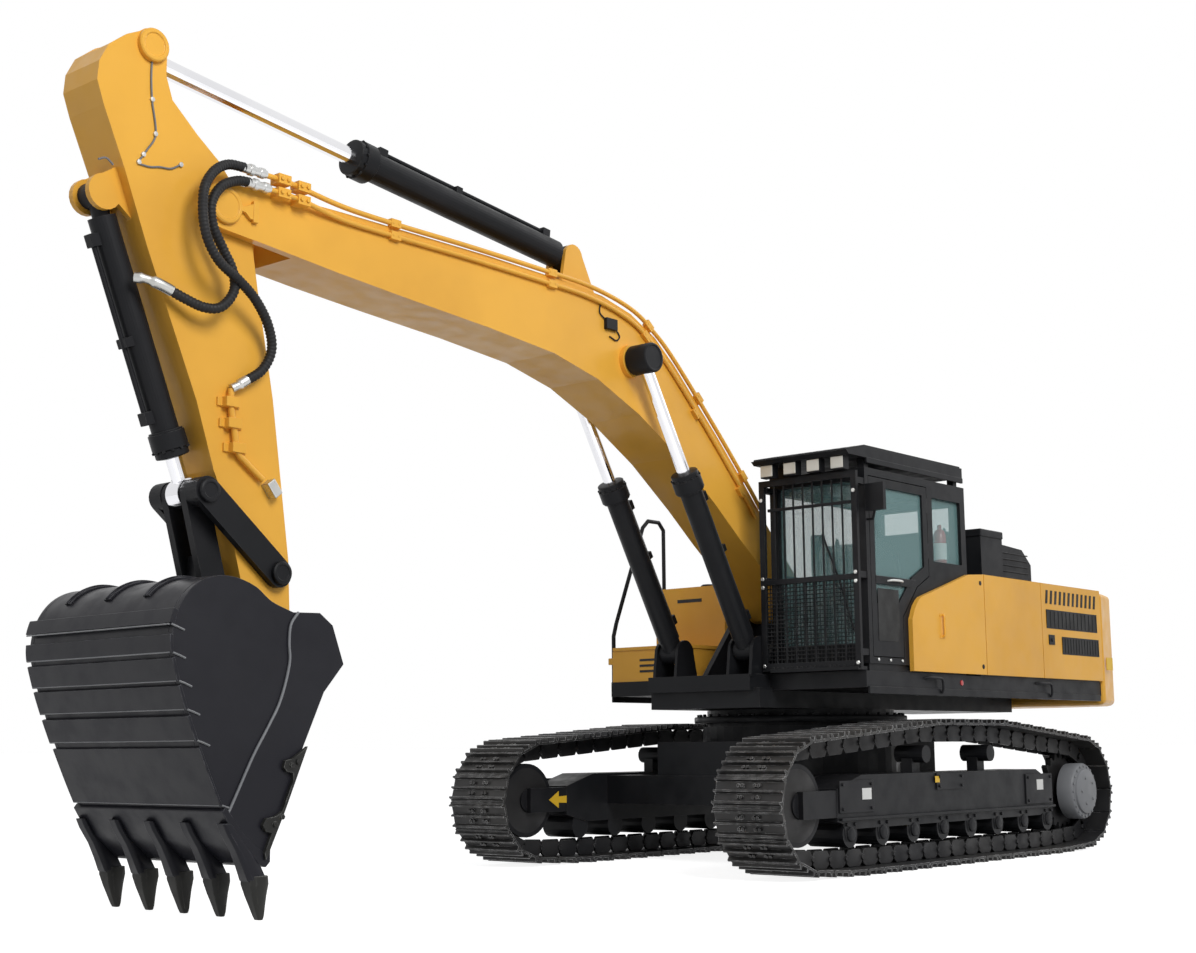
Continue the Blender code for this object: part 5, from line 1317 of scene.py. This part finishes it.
@dataclass
class Studio:
    """The floor, the light and the camera."""

    place: tuple = (10.998, 8.695, 0.971)
    yaw: float = 40.68
    pitch: float = 8.905
    roll: float = -0.457
    lens: float = 51.8

    def floor(self) -> None:
        """Lays a plain pale floor that stays white before the camera and keeps the shadow."""
        side = 400.0
        mesh = bpy.data.meshes.new("floor")
        mesh.from_pydata([(-side, -side, 0), (side, -side, 0), (side, side, 0), (-side, side, 0)], [],
                         [(0, 1, 2, 3)])
        mat = bpy.data.materials.new("studio_floor")
        mat.use_nodes = True
        nodes, links = mat.node_tree.nodes, mat.node_tree.links
        shader = nodes["Principled BSDF"]
        shader.inputs["Base Color"].default_value = (0.55, 0.55, 0.55, 1.0)
        shader.inputs["Roughness"].default_value = 0.9
        shader.inputs["Specular IOR Level"].default_value = 0.1
        glow = nodes.new("ShaderNodeEmission")
        glow.inputs["Strength"].default_value = 0.86
        total = nodes.new("ShaderNodeAddShader")
        links.new(shader.outputs["BSDF"], total.inputs[0])
        links.new(glow.outputs["Emission"], total.inputs[1])
        choice = nodes.new("ShaderNodeMixShader")
        links.new(seen_directly(nodes, links), choice.inputs["Fac"])
        links.new(shader.outputs["BSDF"], choice.inputs[1])
        links.new(total.outputs["Shader"], choice.inputs[2])
        links.new(choice.outputs["Shader"], nodes["Material Output"].inputs["Surface"])
        mesh.materials.append(mat)
        obj = bpy.data.objects.new("floor", mesh)
        bpy.context.scene.collection.objects.link(obj)

    def light(self) -> None:
        """Lights the machine: a plain white world, a broad key from the front left and a softer fill."""
        scene = bpy.context.scene
        world = bpy.data.worlds.new("studio")
        scene.world = world
        world.use_nodes = True
        nodes, links = world.node_tree.nodes, world.node_tree.links
        soft = nodes["Background"]
        soft.inputs["Color"].default_value = (0.93, 0.96, 1.0, 1.0)
        soft.inputs["Strength"].default_value = 0.28
        clear = nodes.new("ShaderNodeBackground")
        clear.inputs["Color"].default_value = (1.0, 1.0, 1.0, 1.0)
        clear.inputs["Strength"].default_value = 1.0
        choice = nodes.new("ShaderNodeMixShader")
        links.new(seen_directly(nodes, links), choice.inputs["Fac"])
        links.new(soft.outputs["Background"], choice.inputs[1])
        links.new(clear.outputs["Background"], choice.inputs[2])
        links.new(choice.outputs["Shader"], nodes["World Output"].inputs["Surface"])
        table = (  # name, size, power, place
            ("key", 7.0, 1900.0, (6.5, 13.5, 11.0)),
            ("fill", 9.0, 260.0, (16.0, -6.0, 7.0)),
            ("back", 8.0, 350.0, (-10.0, 4.0, 10.0)),
        )
        for name, size, power, place in table:
            lamp = bpy.data.lights.new(name, "AREA")
            lamp.size = size
            lamp.energy = power
            obj = bpy.data.objects.new(name, lamp)
            obj.location = place
            obj.rotation_euler = (Vector((0.5, 0, 1.5)) - Vector(place)).to_track_quat("-Z", "Y").to_euler()
            scene.collection.objects.link(obj)
        scene.view_settings.view_transform = "Standard"

    def camera(self) -> None:
        """Sets the camera at its place, turned by its yaw, pitch and roll."""
        data = bpy.data.cameras.new("camera")
        data.lens = self.lens
        data.sensor_width = 36.0
        data.clip_end = 1000.0
        obj = bpy.data.objects.new("camera", data)
        bpy.context.scene.collection.objects.link(obj)
        obj.location = self.place
        yaw, pitch = math.radians(self.yaw), math.radians(self.pitch)
        ahead = Vector((-math.cos(yaw) * math.cos(pitch), -math.sin(yaw) * math.cos(pitch),
                        math.sin(pitch)))
        turn = ahead.to_track_quat("-Z",
                                   "Y").to_matrix() @ Euler((0, 0, math.radians(self.roll))).to_matrix()
        obj.rotation_euler = turn.to_euler()
        bpy.context.scene.camera = obj


def seen_directly(nodes: bpy.types.Nodes, links: bpy.types.NodeLinks) -> bpy.types.NodeSocket:
    """Returns 1 for rays from the camera, reflected or transmitted, and 0 for light that falls on things.

    Args:
        nodes: the tree's nodes.
        links: the tree's links.

    Returns:
        The socket.
    """
    path = nodes.new("ShaderNodeLightPath")
    total = path.outputs["Is Camera Ray"]
    for name in ("Is Glossy Ray", "Is Transmission Ray"):
        most = nodes.new("ShaderNodeMath")
        most.operation = "MAXIMUM"
        links.new(total, most.inputs[0])
        links.new(path.outputs[name], most.inputs[1])
        total = most.outputs["Value"]
    return total


def main() -> None:
    """Builds the machine's looks in order."""
    logging.basicConfig(level=logging.INFO, format="%(message)s")
    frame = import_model()
    shop = Workshop()
    studio = Studio()
    studio.camera()
    studio.floor()
    studio.light()
    Body().dress(frame)
    for assembly in ASSEMBLIES:
        assembly.build(shop)
        LOG.info("%s done", type(assembly).__name__)


if __name__ == "__main__":
    main()
